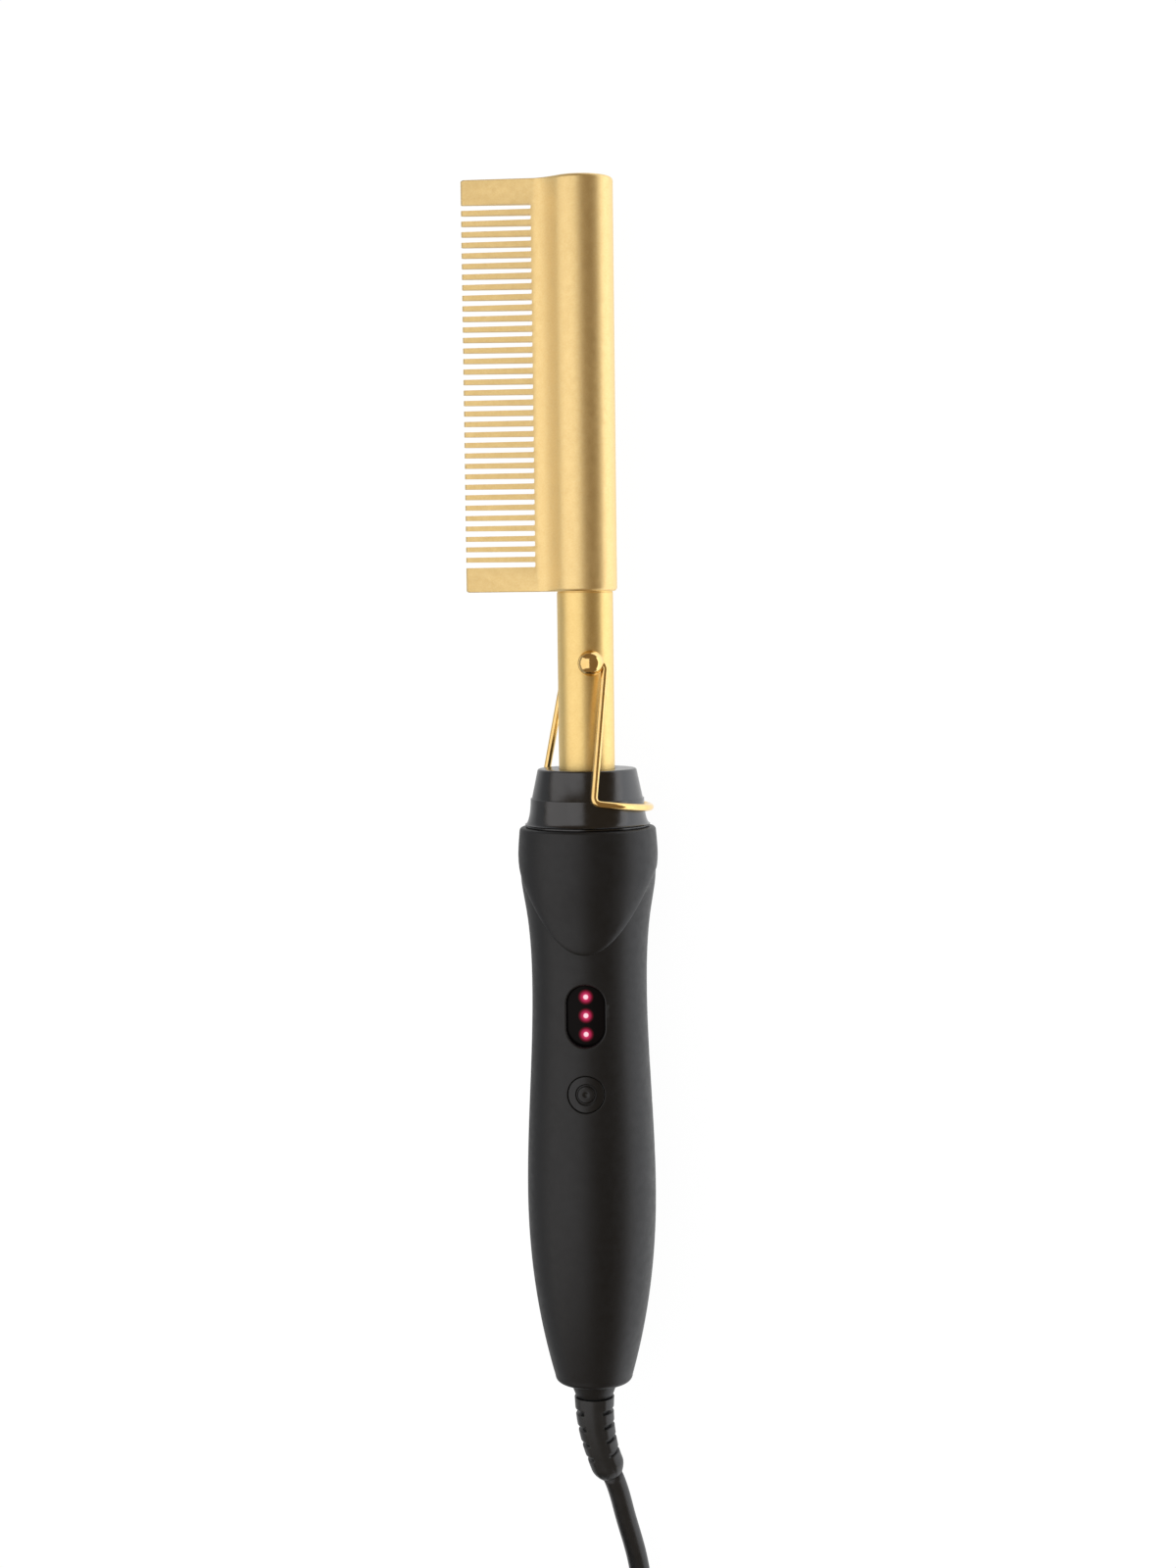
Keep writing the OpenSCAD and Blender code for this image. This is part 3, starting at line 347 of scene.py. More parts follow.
def joined(name, *pieces):
    """One mesh object made of several."""
    work = bmesh.new()
    for piece in pieces:
        work.from_mesh(piece.data)
        mesh = piece.data
        bpy.data.objects.remove(piece)
        bpy.data.meshes.remove(mesh)
    whole = bpy.data.meshes.new(name)
    work.to_mesh(whole)
    work.free()
    whole.polygons.foreach_set("use_smooth", [True] * len(whole.polygons))
    made = bpy.data.objects.new(name, whole)
    scene.collection.objects.link(made)
    return made


def dress(piece, material):
    """Gives a piece one material."""
    piece.data.materials.clear()
    piece.data.materials.append(material)


def finish_piece(piece, material_slot, body, *nodes):
    """Gives a piece the material of a slot and its body, and hides the CAD nodes that it replaces."""
    dress(piece, FINISHES[material_slot])
    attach(piece, body)
    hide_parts(*nodes)
    return piece


# Node helpers: an output that is given is linked, and any other value is set

def feed(tree, socket, value):
    if isinstance(value, bpy.types.NodeSocket):
        tree.links.new(value, socket)
    else:
        socket.default_value = value


def add_node(tree, kind, *feeds, **settings):
    """New node; feeds go to its first sockets, and each setting to what it names."""
    made = tree.nodes.new(kind)
    named = {key: key.replace("_", " ") for key in settings}
    for key, value in settings.items():
        if named[key] in made.inputs:
            feed(tree, made.inputs[named[key]], value)
        else:
            setattr(made, key, value)
    for socket, value in zip(made.inputs, feeds):
        feed(tree, socket, value)
    return made


def mixed(tree, share, low, high):
    """Colour between low and high; a Mix node's colour sockets have names that others share."""
    made = add_node(tree, "ShaderNodeMix", share, data_type="RGBA")
    low_socket, high_socket = made.inputs[6], made.inputs[7]
    feed(tree, low_socket, low)
    feed(tree, high_socket, high)
    return made.outputs[2]


# Materials: each is procedural, on Object coordinates in metres

class Finish:
    """A material with one Principled shader and small helpers to wire its nodes."""

    def __init__(self, name, color, roughness, metallic=0.0, **sockets):
        self.material = bpy.data.materials.new(name)
        self.material.use_nodes = True
        self.tree = self.material.node_tree
        self.shader = self.tree.nodes["Principled BSDF"]
        self.place = self.node("ShaderNodeTexCoord").outputs["Object"]
        self.set(Base_Color=(*color, 1), Roughness=roughness, Metallic=metallic, **sockets)

    def set(self, **sockets):
        """Feeds sockets of the shader; an underscore stands for a space."""
        for key, value in sockets.items():
            feed(self.tree, self.shader.inputs[key.replace("_", " ")], value)

    def node(self, kind, *feeds, **settings):
        return add_node(self.tree, kind, *feeds, **settings)

    def noise(self, size, detail=2.0, roughness=0.5):
        """Noise whose blobs are about size metres across."""
        made = self.node("ShaderNodeTexNoise", self.place, Scale=1 / size, Detail=detail,
                         Roughness=roughness)
        return made.outputs["Fac"]

    def ramp(self, value, stops):
        """Turns a value into a colour through (place, colour) stops."""
        made = self.node("ShaderNodeValToRGB", value)
        elements = made.color_ramp.elements
        while len(elements) < len(stops):
            elements.new(0.5)
        for element, (at, color) in zip(elements, stops):
            element.position = at
            element.color = (*color, 1)
        return made.outputs["Color"]

    def tint(self, value, low, high):
        """Base colour that wanders between two colours."""
        self.set(Base_Color=self.ramp(value, [(NOISE_LOW, low), (NOISE_HIGH, high)]))

    def roughness(self, value, low, high):
        spread = self.node("ShaderNodeMapRange", value, From_Min=NOISE_LOW, From_Max=NOISE_HIGH,
                           To_Min=low, To_Max=high)
        self.set(Roughness=spread.outputs["Result"])

    def bump(self, value, depth):
        """Bump of the given depth in metres."""
        made = self.node("ShaderNodeBump", Distance=depth, Strength=1.0, Height=value)
        self.set(Normal=made.outputs["Normal"])


# Most of a noise's values lie between these
NOISE_LOW, NOISE_HIGH = 0.3, 0.7


def satin_gold(name, low, high, rough):
    """Blasted gold with a fine grain."""
    made = Finish(name, high, rough, metallic=1.0)
    made.tint(made.noise(0.0005, 4, 0.7), low, high)
    made.roughness(made.noise(0.0015, 3), rough - 0.04, rough + 0.05)
    made.bump(made.noise(0.0003, 3, 0.6), 0.00001)
    return made.material


def bright_gold():
    """Polished gold wire."""
    made = Finish("bright_gold", (0.93, 0.66, 0.27), 0.12, metallic=1.0)
    made.tint(made.noise(0.002), (0.90, 0.62, 0.24), (0.95, 0.69, 0.30))
    made.roughness(made.noise(0.0008, 3), 0.08, 0.17)
    made.bump(made.noise(0.0012, 2), 0.000012)
    return made.material


COOL_SHEEN = (0.93, 0.95, 1.0, 1)


def black_plastic(name, color, rough, gloss=0.5):
    """Moulded plastic with a fine grain and a slightly cool sheen."""
    made = Finish(name, color, rough, Specular_IOR_Level=gloss, Specular_Tint=COOL_SHEEN)
    made.tint(made.noise(0.004, 3), tuple(0.85 * c for c in color), tuple(1.15 * c for c in color))
    made.roughness(made.noise(0.002, 3), rough - 0.04, rough + 0.04)
    made.bump(made.noise(0.00025, 2), 0.000008)
    return made.material


def plain_finish(name, color, rough, metallic):
    """Finish of an inner or small piece."""
    made = Finish(name, color, rough, metallic)
    made.tint(made.noise(0.003, 3), tuple(0.92 * c for c in color),
              tuple(min(1.0, 1.08 * c) for c in color))
    made.roughness(made.noise(0.0018, 2), rough - 0.05, rough + 0.05)
    made.bump(made.noise(0.0006, 2), 0.00001)
    return made.material


LENS_BLACK = (0.004, 0.003, 0.003)
LAMP_CORE_R, LAMP_HALO_R = 0.7, 1.95
LAMP_MIDDLE, LAMP_CORE = (1.0, 0.78, 0.84), (1.0, 0.62, 0.72)
LAMP_RIM, LAMP_HALO, LAMP_DARK = (0.62, 0.03, 0.12), (0.10, 0.003, 0.012), (0.001, 0.001, 0.001)


def lamp_lens():
    """Nearly black window with three lit lamps behind it, each a pinkish core in a crimson halo."""
    made = Finish("lens_red", LENS_BLACK, 0.12, Specular_IOR_Level=0.05)
    nearest = LAMP_HALO_R * MM
    for level in (-1, 0, 1):
        lamp = spot(0, -LENS_FACE, WINDOW_H + level * LED_PITCH)
        gap = made.node("ShaderNodeVectorMath", made.place, tuple(lamp), operation="DISTANCE")
        smaller = made.node("ShaderNodeMath", gap.outputs["Value"], nearest, operation="MINIMUM")
        nearest = smaller.outputs["Value"]
    share = made.node("ShaderNodeMapRange", nearest, From_Max=LAMP_HALO_R * MM)
    core = LAMP_CORE_R / LAMP_HALO_R
    stops = [(0.0, LAMP_MIDDLE), (0.75 * core, LAMP_CORE), (core, LAMP_RIM), (0.8, LAMP_HALO),
             (1.0, LAMP_DARK)]
    made.set(Emission_Color=made.ramp(share.outputs["Result"], stops), Emission_Strength=1.0)
    made.bump(made.noise(0.0009, 2), 0.000004)
    return made.material


# Colour, roughness and metal of the plain finishes
PLAIN_LOOKS = {
    "heater_metal": ((0.62, 0.63, 0.65), 0.32, 1.0),
    "ceramic": ((0.16, 0.16, 0.18), 0.7, 0.0),
    "amber_film": ((0.62, 0.30, 0.04), 0.22, 0.0),
    "glass_bead": ((0.45, 0.16, 0.08), 0.12, 0.0),
    "small_steel": ((0.56, 0.57, 0.58), 0.30, 1.0),
    "lamp_red": ((0.80, 0.10, 0.16), 0.2, 0.0),
    "plunger_white": ((0.65, 0.65, 0.62), 0.4, 0.0),
    "switch_grey": ((0.05, 0.05, 0.055), 0.4, 0.0),
    "board_green": ((0.02, 0.12, 0.04), 0.3, 0.0),
    "chip_black": ((0.015, 0.015, 0.015), 0.4, 0.0),
    "capacitor_blue": ((0.02, 0.05, 0.20), 0.25, 0.0),
    "lead_red": ((0.30, 0.02, 0.01), 0.45, 0.0),
    "lead_white": ((0.68, 0.68, 0.62), 0.45, 0.0),
    "lead_blue": ((0.02, 0.08, 0.32), 0.45, 0.0),
    "carrier_grey": ((0.06, 0.06, 0.065), 0.45, 0.0),
    "contact_brass": ((0.80, 0.48, 0.26), 0.3, 1.0),
    "tie_grey": ((0.02, 0.02, 0.023), 0.85, 0.0),
    "pin_nickel": ((0.66, 0.65, 0.62), 0.2, 1.0),
    "pin_sleeve_black": ((0.012, 0.012, 0.012), 0.35, 0.0),
}
FINISHES = {name: plain_finish(name, *look) for name, look in PLAIN_LOOKS.items()}
FINISHES |= {
    "gold_head": satin_gold("head_gold", (0.95, 0.72, 0.33), (1.0, 0.79, 0.40), 0.46),
    "gold_tube": satin_gold("tube_gold", (0.93, 0.69, 0.28), (1.0, 0.77, 0.34), 0.42),
    "gold_wire": bright_gold(),
    "handle_black": black_plastic("handle_black", (0.0045, 0.0050, 0.0058), 0.46, 0.50),
    "collar_black": black_plastic("collar_black", (0.002, 0.0022, 0.0026), 0.22, 1.0),
    "button_black": black_plastic("button_black", (0.004, 0.0045, 0.005), 0.34),
    "relief_black": black_plastic("relief_black", (0.015, 0.015, 0.015), 0.38),
    "cord_black": black_plastic("cord_black", (0.014, 0.014, 0.014), 0.36),
    "plug_black": black_plastic("plug_black", (0.018, 0.018, 0.018), 0.42),
    "lens_red": lamp_lens(),
}
FINISHES["swivel_black"] = FINISHES["handle_black"]

slot_of = {row["node"]: row["material_slot"] for row in frame["record"]["subparts"]}
for node_name, node_object in frame["nodes"].items():
    dress(node_object, FINISHES[slot_of[node_name]])


# Stage: a white floor that shows as white to the camera and in gloss, and keeps a faint shadow

FLOOR_IN_GLOSS = (0.30, 1.4)
FLOOR_FADE = 0.06
FLOOR_GLOW = 0.93
FLOOR_TO_CAMERA = 1.04
FLOOR_MATT = (0.82, 0.82, 0.82, 1)
FLOOR_HALF = 4.0
FLOOR_Z = -0.0003


def stage_material():
    """Matt white with its own glow, which gloss sees growing towards the spine's side."""
    made = bpy.data.materials.new("floor_white")
    made.use_nodes = True
    tree = made.node_tree
    tree.nodes.clear()
    rays = add_node(tree, "ShaderNodeLightPath").outputs
    place = add_node(tree, "ShaderNodeTexCoord").outputs["Object"]
    across = add_node(tree, "ShaderNodeSeparateXYZ", place).outputs["X"]
    fade = add_node(tree, "ShaderNodeMapRange", across, -FLOOR_FADE, FLOOR_FADE, *FLOOR_IN_GLOSS)
    mirrored = add_node(tree, "ShaderNodeMath", rays["Is Glossy Ray"], rays["Is Transmission Ray"],
                        operation="MAXIMUM").outputs["Value"]
    level = add_node(tree, "ShaderNodeMapRange", mirrored, To_Min=FLOOR_TO_CAMERA,
                     To_Max=fade.outputs["Result"])
    seen = add_node(tree, "ShaderNodeMath", mirrored, rays["Is Camera Ray"], operation="MAXIMUM")
    share = add_node(tree, "ShaderNodeMath", seen.outputs["Value"], FLOOR_GLOW, operation="MULTIPLY")
    matt = add_node(tree, "ShaderNodeBsdfDiffuse", FLOOR_MATT)
    glow = add_node(tree, "ShaderNodeEmission", Strength=level.outputs["Result"])
    both = add_node(tree, "ShaderNodeMixShader", share.outputs["Value"], matt.outputs["BSDF"],
                    glow.outputs["Emission"])
    add_node(tree, "ShaderNodeOutputMaterial", both.outputs["Shader"])
    return made


corners = [(x * FLOOR_HALF, y * FLOOR_HALF, FLOOR_Z) for x, y in ((-1, -1), (1, -1), (1, 1), (-1, 1))]
floor = make_piece("floor", corners, [(0, 1, 2, 3)], smooth=False, tidy=False)
dress(floor, stage_material())


# World: white behind everything, and a soft fill that is dimmer and warmer in gloss

WORLD_FILL = (0.55, 0.55, 0.55, 1)
WORLD_IN_GLOSS = (0.215, 0.155, 0.095, 1)
WHITE = (1, 1, 1, 1)
world = bpy.data.worlds.new("studio")
scene.world = world
world.use_nodes = True
world_rays = add_node(world.node_tree, "ShaderNodeLightPath").outputs
fill = mixed(world.node_tree, world_rays["Is Glossy Ray"], WORLD_FILL, WORLD_IN_GLOSS)
back = world.node_tree.nodes["Background"].inputs
feed(world.node_tree, back["Color"], mixed(world.node_tree, world_rays["Is Camera Ray"], fill, WHITE))
feed(world.node_tree, back["Strength"], 1.0)


# Lights: two softboxes on the teeth's side and a strip low on the spine's side

TOOL_CENTRE = Vector((AXIS_X, 0, AXIS_Z))
SOFTBOX_LEN = 1.5


def softbox(name, angle, distance, width, level):
    """Area light turned by an angle about the tool's axis from straight up, towards the spine's side."""
    data = bpy.data.lights.new(name, "AREA")
    data.shape = "RECTANGLE"
    data.size = width
    data.size_y = SOFTBOX_LEN
    data.energy = level * width * SOFTBOX_LEN * math.pi
    lamp = bpy.data.objects.new(name, data)
    way = Vector((math.sin(math.radians(angle)), 0, math.cos(math.radians(angle))))
    side = Vector((way.z, 0, -way.x))
    turn = Matrix((side, Vector((0, 1, 0)), way)).transposed().to_4x4()
    lamp.matrix_world = Matrix.Translation(TOOL_CENTRE + way * distance) @ turn
    scene.collection.objects.link(lamp)


softbox("upper_softbox", -21, 0.9, 0.54, 0.95)
softbox("left_softbox", -62, 0.9, 0.80, 0.9)
softbox("right_strip", 82, 0.8, 0.24, 1.5)


# Comb head: a blank with softened rims, and slots cut by a row of instanced cutters

HEAD_LEN = HEAD_TOP - HEAD_LOW
RIM_SPINE = 0.9
RIM_BLADE = 0.22
RIM_STEPS = 6
CORNER_R = 0.5
SLOT_W_TIP = 1.40
SLOT_W_ROOT = 1.24
SLOT_SOFT = 0.3
CUTTER_PAST, CUTTER_HALF = 4, 8
TIP_RUN, TIP_RISE = 1.3, 0.04
RIM_BLEND_X, RIM_BLEND_LEN = -10.5, 6
FLANK_STEPS = 14
SPINE_STEPS = 48


def head_outline():
    """Section of the head as (x, y, rim, corner) from the teeth's edge over the spine and back."""
    low = Vector((-SLOT_ROOT, ROOT_R))
    high = Vector((-math.cos(SPINE_JOIN), math.sin(SPINE_JOIN))) * SPINE_R
    run = (high - low).length
    u = Vector((TEETH_REACH - SLOT_ROOT, ROOT_R - TIP_R)).normalized() * run
    v = Vector((math.sin(SPINE_JOIN), math.cos(SPINE_JOIN))) * run
    half = [(-TEETH_REACH, TIP_R - TIP_BEVEL, RIM_BLADE, CORNER_R),
            (-TEETH_REACH + TIP_BEVEL, TIP_R, RIM_BLADE, CORNER_R),
            (-TEETH_REACH + TIP_RUN, TIP_R + TIP_RISE, RIM_BLADE, 0)]
    for i in range(1, FLANK_STEPS + 1):
        p = curve(low, high, u, v, i / FLANK_STEPS)
        blend = smooth_step((p.x - RIM_BLEND_X) / RIM_BLEND_LEN)
        half.append((p.x, p.y, RIM_BLADE + (RIM_SPINE - RIM_BLADE) * blend, 0))
    start = math.pi - SPINE_JOIN
    for i in range(1, SPINE_STEPS + 1):
        a = start * (1 - i / SPINE_STEPS)
        half.append((SPINE_R * math.cos(a), SPINE_R * math.sin(a), RIM_SPINE, 0))
    return half + [(x, -y, rim, corner) for x, y, rim, corner in reversed(half[:-1])]


def head_blank():
    """The head without its slots; each end's rings turn in from the section's outline."""
    outline = head_outline()
    count = len(outline)
    flat = [Vector((x, y)) for x, y, _, _ in outline]
    normals = []
    for i in range(count):
        along = (flat[(i + 1) % count] - flat[i - 1]).normalized()
        normals.append(Vector((-along.y, along.x)))
    turns = [math.pi / 2 * k / RIM_STEPS for k in range(RIM_STEPS + 1)]
    levels = [(HEAD_LOW, 1, t) for t in reversed(turns)] + [(HEAD_TOP, -1, t) for t in turns]
    points = []
    for end, way, t in levels:
        for (x, y, rim, corner), n in zip(outline, normals):
            inset = rim * (1 - math.cos(t))
            shift = corner * (1 - math.cos(t))
            rise = max(rim, corner) * (1 - math.sin(t))
            points.append(spot(x - n.x * inset + shift, y - n.y * inset, end + way * rise))
    faces = ring_faces(len(levels), count) + end_caps(len(levels), count)
    return make_piece("head_blank", points, faces)


def slot_cutter():
    """Wedge that cuts one slot, a little wider at the teeth's tips, with softened root corners."""
    tip, root = SLOT_W_TIP / 2, SLOT_W_ROOT / 2
    edge = [(-TEETH_REACH - CUTTER_PAST, tip)]
    edge += arc_corner(-SLOT_ROOT - SLOT_SOFT, root - SLOT_SOFT, SLOT_SOFT, 90, 0, 4)
    outline = edge + [(x, -h) for x, h in reversed(edge)]
    points = [spot(x, y, h) - spot(0, 0, 0) for y in (-CUTTER_HALF, CUTTER_HALF) for x, h in outline]
    count = len(outline)
    return make_piece("slot_cutter", points, ring_faces(2, count) + end_caps(2, count), smooth=False)


def plain_mesh(name, carrier):
    """Evaluated copy of an object's mesh as a new object; the carrier is removed."""
    evaluated = carrier.evaluated_get(bpy.context.evaluated_depsgraph_get())
    mesh = bpy.data.meshes.new_from_object(evaluated)
    mesh.name = name
    bpy.data.objects.remove(carrier)
    piece = bpy.data.objects.new(name, mesh)
    scene.collection.objects.link(piece)
    return piece


def slot_tree():
    """Node tree that cuts a row of slots along +Y into its mesh, and the identifiers of its inputs."""
    tree = bpy.data.node_groups.new("comb_slots", "GeometryNodeTree")
    face = tree.interface
    face.new_socket("Geometry", in_out="OUTPUT", socket_type="NodeSocketGeometry")
    kinds = {"Geometry": "NodeSocketGeometry", "Cutter": "NodeSocketObject", "Slots": "NodeSocketInt",
             "First slot": "NodeSocketVector", "Pitch": "NodeSocketFloat", "Metal": "NodeSocketMaterial"}
    ids = {label: face.new_socket(label, in_out="INPUT", socket_type=kind).identifier
           for label, kind in kinds.items()}
    given = add_node(tree, "NodeGroupInput").outputs
    step = add_node(tree, "ShaderNodeCombineXYZ", Y=given["Pitch"])
    line = add_node(tree, "GeometryNodeMeshLine", Count=given["Slots"],
                    Start_Location=given["First slot"], Offset=step.outputs["Vector"])
    cutter = add_node(tree, "GeometryNodeObjectInfo", Object=given["Cutter"])
    row = add_node(tree, "GeometryNodeInstanceOnPoints", Points=line.outputs["Mesh"],
                   Instance=cutter.outputs["Geometry"])
    real = add_node(tree, "GeometryNodeRealizeInstances", row.outputs["Instances"])
    cut = add_node(tree, "GeometryNodeMeshBoolean", operation="DIFFERENCE",
                   Mesh_1=given["Geometry"], Mesh_2=real.outputs["Geometry"])
    whole = add_node(tree, "GeometryNodeRealizeInstances", cut.outputs["Mesh"])
    metal = add_node(tree, "GeometryNodeSetMaterial", whole.outputs["Geometry"],
                     Material=given["Metal"])
    add_node(tree, "NodeGroupOutput", metal.outputs["Geometry"])
    return tree, ids


def make_comb_head():
    blank = head_blank()
    cutter = slot_cutter()
    first = HEAD_LOW + HEAD_LEN / 2 - SLOT_PITCH * (SLOT_COUNT - 1) / 2
    array = blank.modifiers.new("slots", "NODES")
    array.node_group, ids = slot_tree()
    array[ids["Cutter"]] = cutter
    array[ids["Slots"]] = SLOT_COUNT
    array[ids["First slot"]] = tuple(spot(0, 0, first))
    array[ids["Pitch"]] = SLOT_PITCH * MM
    array[ids["Metal"]] = FINISHES["gold_head"]
    head = plain_mesh("comb_head_slotted", blank)
    bpy.data.objects.remove(cutter)
    head.data.polygons.foreach_set("use_smooth", [True] * len(head.data.polygons))
    finish_piece(crisp(head, 28), "gold_head", "handle", "comb_head")


make_comb_head()


# Neck tube, with a fine groove where it enters the head

TUBE_WALL, TUBE_IN_COLLAR, TUBE_IN_HEAD = 1.0, 28.4, 14


def make_neck_tube():
    low = COLLAR_TOP - TUBE_IN_COLLAR
    high = HEAD_LOW + TUBE_IN_HEAD
    inner = TUBE_R - TUBE_WALL
    profile = [(inner, low), (TUBE_R - 0.15, low), (TUBE_R, low + 0.15), (TUBE_R, HEAD_LOW - 0.35),
               (TUBE_R - 0.12, HEAD_LOW - 0.25), (TUBE_R - 0.12, HEAD_LOW + 0.25),
               (TUBE_R, HEAD_LOW + 0.35), (TUBE_R, high), (inner, high)]
    piece = crisp(turned("neck_tube_satin", profile, 128, closed=True))
    finish_piece(piece, "gold_tube", "handle", "neck_tube")


make_neck_tube()


# Wire stand and its screws, drawn about the pivot and then leant, clocked and raised

EYELET_Y = TUBE_R + 0.12 + WIRE_R
STAND_TURN = Matrix.Rotation(STAND_CLOCK, 3, "Z")
LEAN_TURN = Matrix.Rotation(STAND_LEAN, 3, "Y")
PIVOT_H = HEAD_LOW - PIVOT_DROP
WIRE_BEND = 1.8
WIRE_SIDES = 20


def stand_spot(p, lean=True):
    """Row-frame point of a place about the stand's pivot, in millimetres."""
    p = Vector(p)
    q = STAND_TURN @ (LEAN_TURN @ p if lean else p)
    return spot(q.x, q.y, q.z + PIVOT_H)


def rounded_corner(a, b, c, back, steps=8):
    """Points round the corner at b of the line a, b, c, from back before it to back past it."""
    a, b, c = Vector(a), Vector(b), Vector(c)
    p, q = b + back * (a - b).normalized(), b + back * (c - b).normalized()
    return [p * (1 - t) ** 2 + b * 2 * t * (1 - t) + q * t ** 2 for t in np.linspace(0, 1, steps)]


def make_stand_wire():
    foot_drop = STAND_DROP * math.cos(STAND_LEAN)
    foot_shift = foot_drop * math.tan(STAND_LEAN)
    off_axis = foot_shift - LEG_OFFSET
    reach = math.sqrt(FOOT_R ** 2 - off_axis ** 2)
    start = -math.pi / 2 - math.asin(off_axis / FOOT_R)
    front_top, front_foot = (LEG_OFFSET, -EYELET_Y, 0), (LEG_OFFSET, -reach, -foot_drop)
    rear_top, rear_foot = (-LEG_OFFSET, EYELET_Y, 0), (-LEG_OFFSET - REAR_LEG_SHIFT, FOOT_R, -foot_drop)
    arc = [Vector((foot_shift + FOOT_R * math.cos(a), FOOT_R * math.sin(a), -foot_drop))
           for a in np.linspace(start, math.pi / 2, 60)[1:]]
    top_bend = LEG_OFFSET - EYELET_R
    path = [Vector((EYELET_R - 0.1, -EYELET_Y, 0))]
    path += rounded_corner((0, -EYELET_Y, 0), front_top, front_foot, top_bend)
    path += rounded_corner(front_top, front_foot, arc[1], WIRE_BEND) + arc[2:-2]
    path += rounded_corner(arc[-2], rear_foot, rear_top, WIRE_BEND)
    path += rounded_corner(rear_foot, rear_top, (0, EYELET_Y, 0), top_bend)
    path += [Vector((-EYELET_R + 0.1, EYELET_Y, 0))]
    legs = tube("wire_legs", [stand_spot(p) / MM for p in path], WIRE_R, WIRE_SIDES)
    wire = [(EYELET_R + WIRE_R * c, WIRE_R * s) for c, s in circle(WIRE_SIDES)]
    eyelets = [turned("eyelet", wire, 56, lambda x, z, d: stand_spot((x, side * EYELET_Y + d, z)),
                      closed=True) for side in (-1, 1)]
    finish_piece(joined("stand_wire_bent", legs, *eyelets), "gold_wire", "stand", "stand_wire")


make_stand_wire()


def make_stand_screws():
    seat = EYELET_Y + WIRE_R + 0.1
    ball = (DOME_R ** 2 + DOME_H ** 2) / (2 * DOME_H)
    neck = EYELET_R - WIRE_R - 0.05
    full = math.asin(DOME_R / ball)
    profile = [(0, seat - 3.8), (0.95, seat - 3.8), (0.95, TUBE_R - 0.2), (neck, TUBE_R + 0.02),
               (neck, seat), (DOME_R - 0.3, seat), (DOME_R - 0.08, seat + 0.06)]
    profile += [(ball * math.sin(full * t), seat + DOME_H - ball + ball * math.cos(full * t))
                for t in np.linspace(0.985, 0, 18)]
    screws = [turned("screw", profile, 64, lambda x, z, d: stand_spot((x, side * d, z), lean=False))
              for side in (-1, 1)]
    piece = crisp(joined("stand_screws_domed", *screws), 40)
    finish_piece(piece, "gold_wire", "handle", "stand_screws")


make_stand_screws()


# Collar

COLLAR_INNER_R, COLLAR_IN_HANDLE = 13.55, 6


def make_collar():
    base = HANDLE_TOP
    foot = COLLAR_FOOT_R
    flare = foot - COLLAR_MID_R - LEDGE_W
    bore = TUBE_R + 0.06
    profile = [(bore, base - COLLAR_IN_HANDLE), (COLLAR_INNER_R, base - COLLAR_IN_HANDLE),
               (COLLAR_INNER_R, base - 0.02), (foot - 0.55, base), (foot - 0.32, base + 0.1),
               (foot - 0.3, base + 0.45), (foot - 0.12, base + 0.52)]
    profile += [(foot - flare * math.sin(t), base + 0.7 + (LEDGE_H - 0.7) * (1 - math.cos(t)))
                for t in np.linspace(0, math.pi / 2 - 0.12, 22)]
    profile += arc_corner(COLLAR_MID_R + LEDGE_W - 0.12, base + LEDGE_H - 0.12, 0.12, 0, 90)
    profile += [(COLLAR_MID_R + 0.06, base + LEDGE_H + 0.01), (COLLAR_MID_R, base + LEDGE_H + 0.08)]
    profile += arc_corner(COLLAR_TOP_R - 0.6, COLLAR_TOP - 0.6, 0.6, 8, 90, 8)
    profile += [(TUBE_R + 0.55, COLLAR_TOP), (TUBE_R + 0.2, COLLAR_TOP - 0.08), (bore, COLLAR_TOP - 0.3)]
    piece = crisp(turned("nose_collar_flared", profile, 160, closed=True), 40)
    finish_piece(piece, "collar_black", "handle", "nose_collar")


make_collar()


# Handle's outline: each station is a height, a radius and a slope, joined by smooth curves

STATIONS = [(0, END_R, 0.29), (PALM_H, PALM_R, 0), (HANDLE_TOP - WAIST_DROP, WAIST_R, 0),
            (HANDLE_TOP - BULGE_DROP - 15, WAIST_R + 0.85, 0.12),
            (HANDLE_TOP - BULGE_DROP - 6, BULGE_R - 0.25, 0.14),
            (HANDLE_TOP - BULGE_DROP, BULGE_R, 0), (HANDLE_TOP, RIM_R, -0.1)]


def grip_r(h):
    """Radius of the handle's grip at a height."""
    for a, b in zip(STATIONS, STATIONS[1:]):
        if h <= b[0] or b is STATIONS[-1]:
            d = b[0] - a[0]
            return curve(a[1], b[1], d * a[2], d * b[2], (h - a[0]) / d)


# Handle shells: each skin is laid out flat as (arc, height), triangulated round its holes, and wrapped

SKIN_SCALE = 16.0
SKIN_HALF = SKIN_SCALE * math.pi / 2
SKIN_GRID, GRID_ROWS = 1.15, 0.866
GRID_CLEAR = 0.55
WINDOW_EDGE, BUTTON_EDGE, WELL_EDGE = 0.5, 0.28, 0.3
SEAM_EDGE = 0.16
STEP_WIDTH, STEP_POWER = 1.8, 1.8
TONGUE_H = HANDLE_TOP - TONGUE_LEN
V_LOW = BOTTOM_EDGE
V_HIGH = HANDLE_TOP - TOP_EDGE
BORE_TOP_V, INNER_LOW_V = 4.6, BOTTOM_WALL + 0.5
BORE_R, BORE_LOW = JOURNAL_R + 0.05, 0.3
HOLE_RIM, HOLE_REACH = 1.0, 3
WELL_WALL, WELL_BORE_R = 1.2, 1.7
OVAL_SIDES, WELL_SIDES = 88, 56
ON_LINE = 1e-4


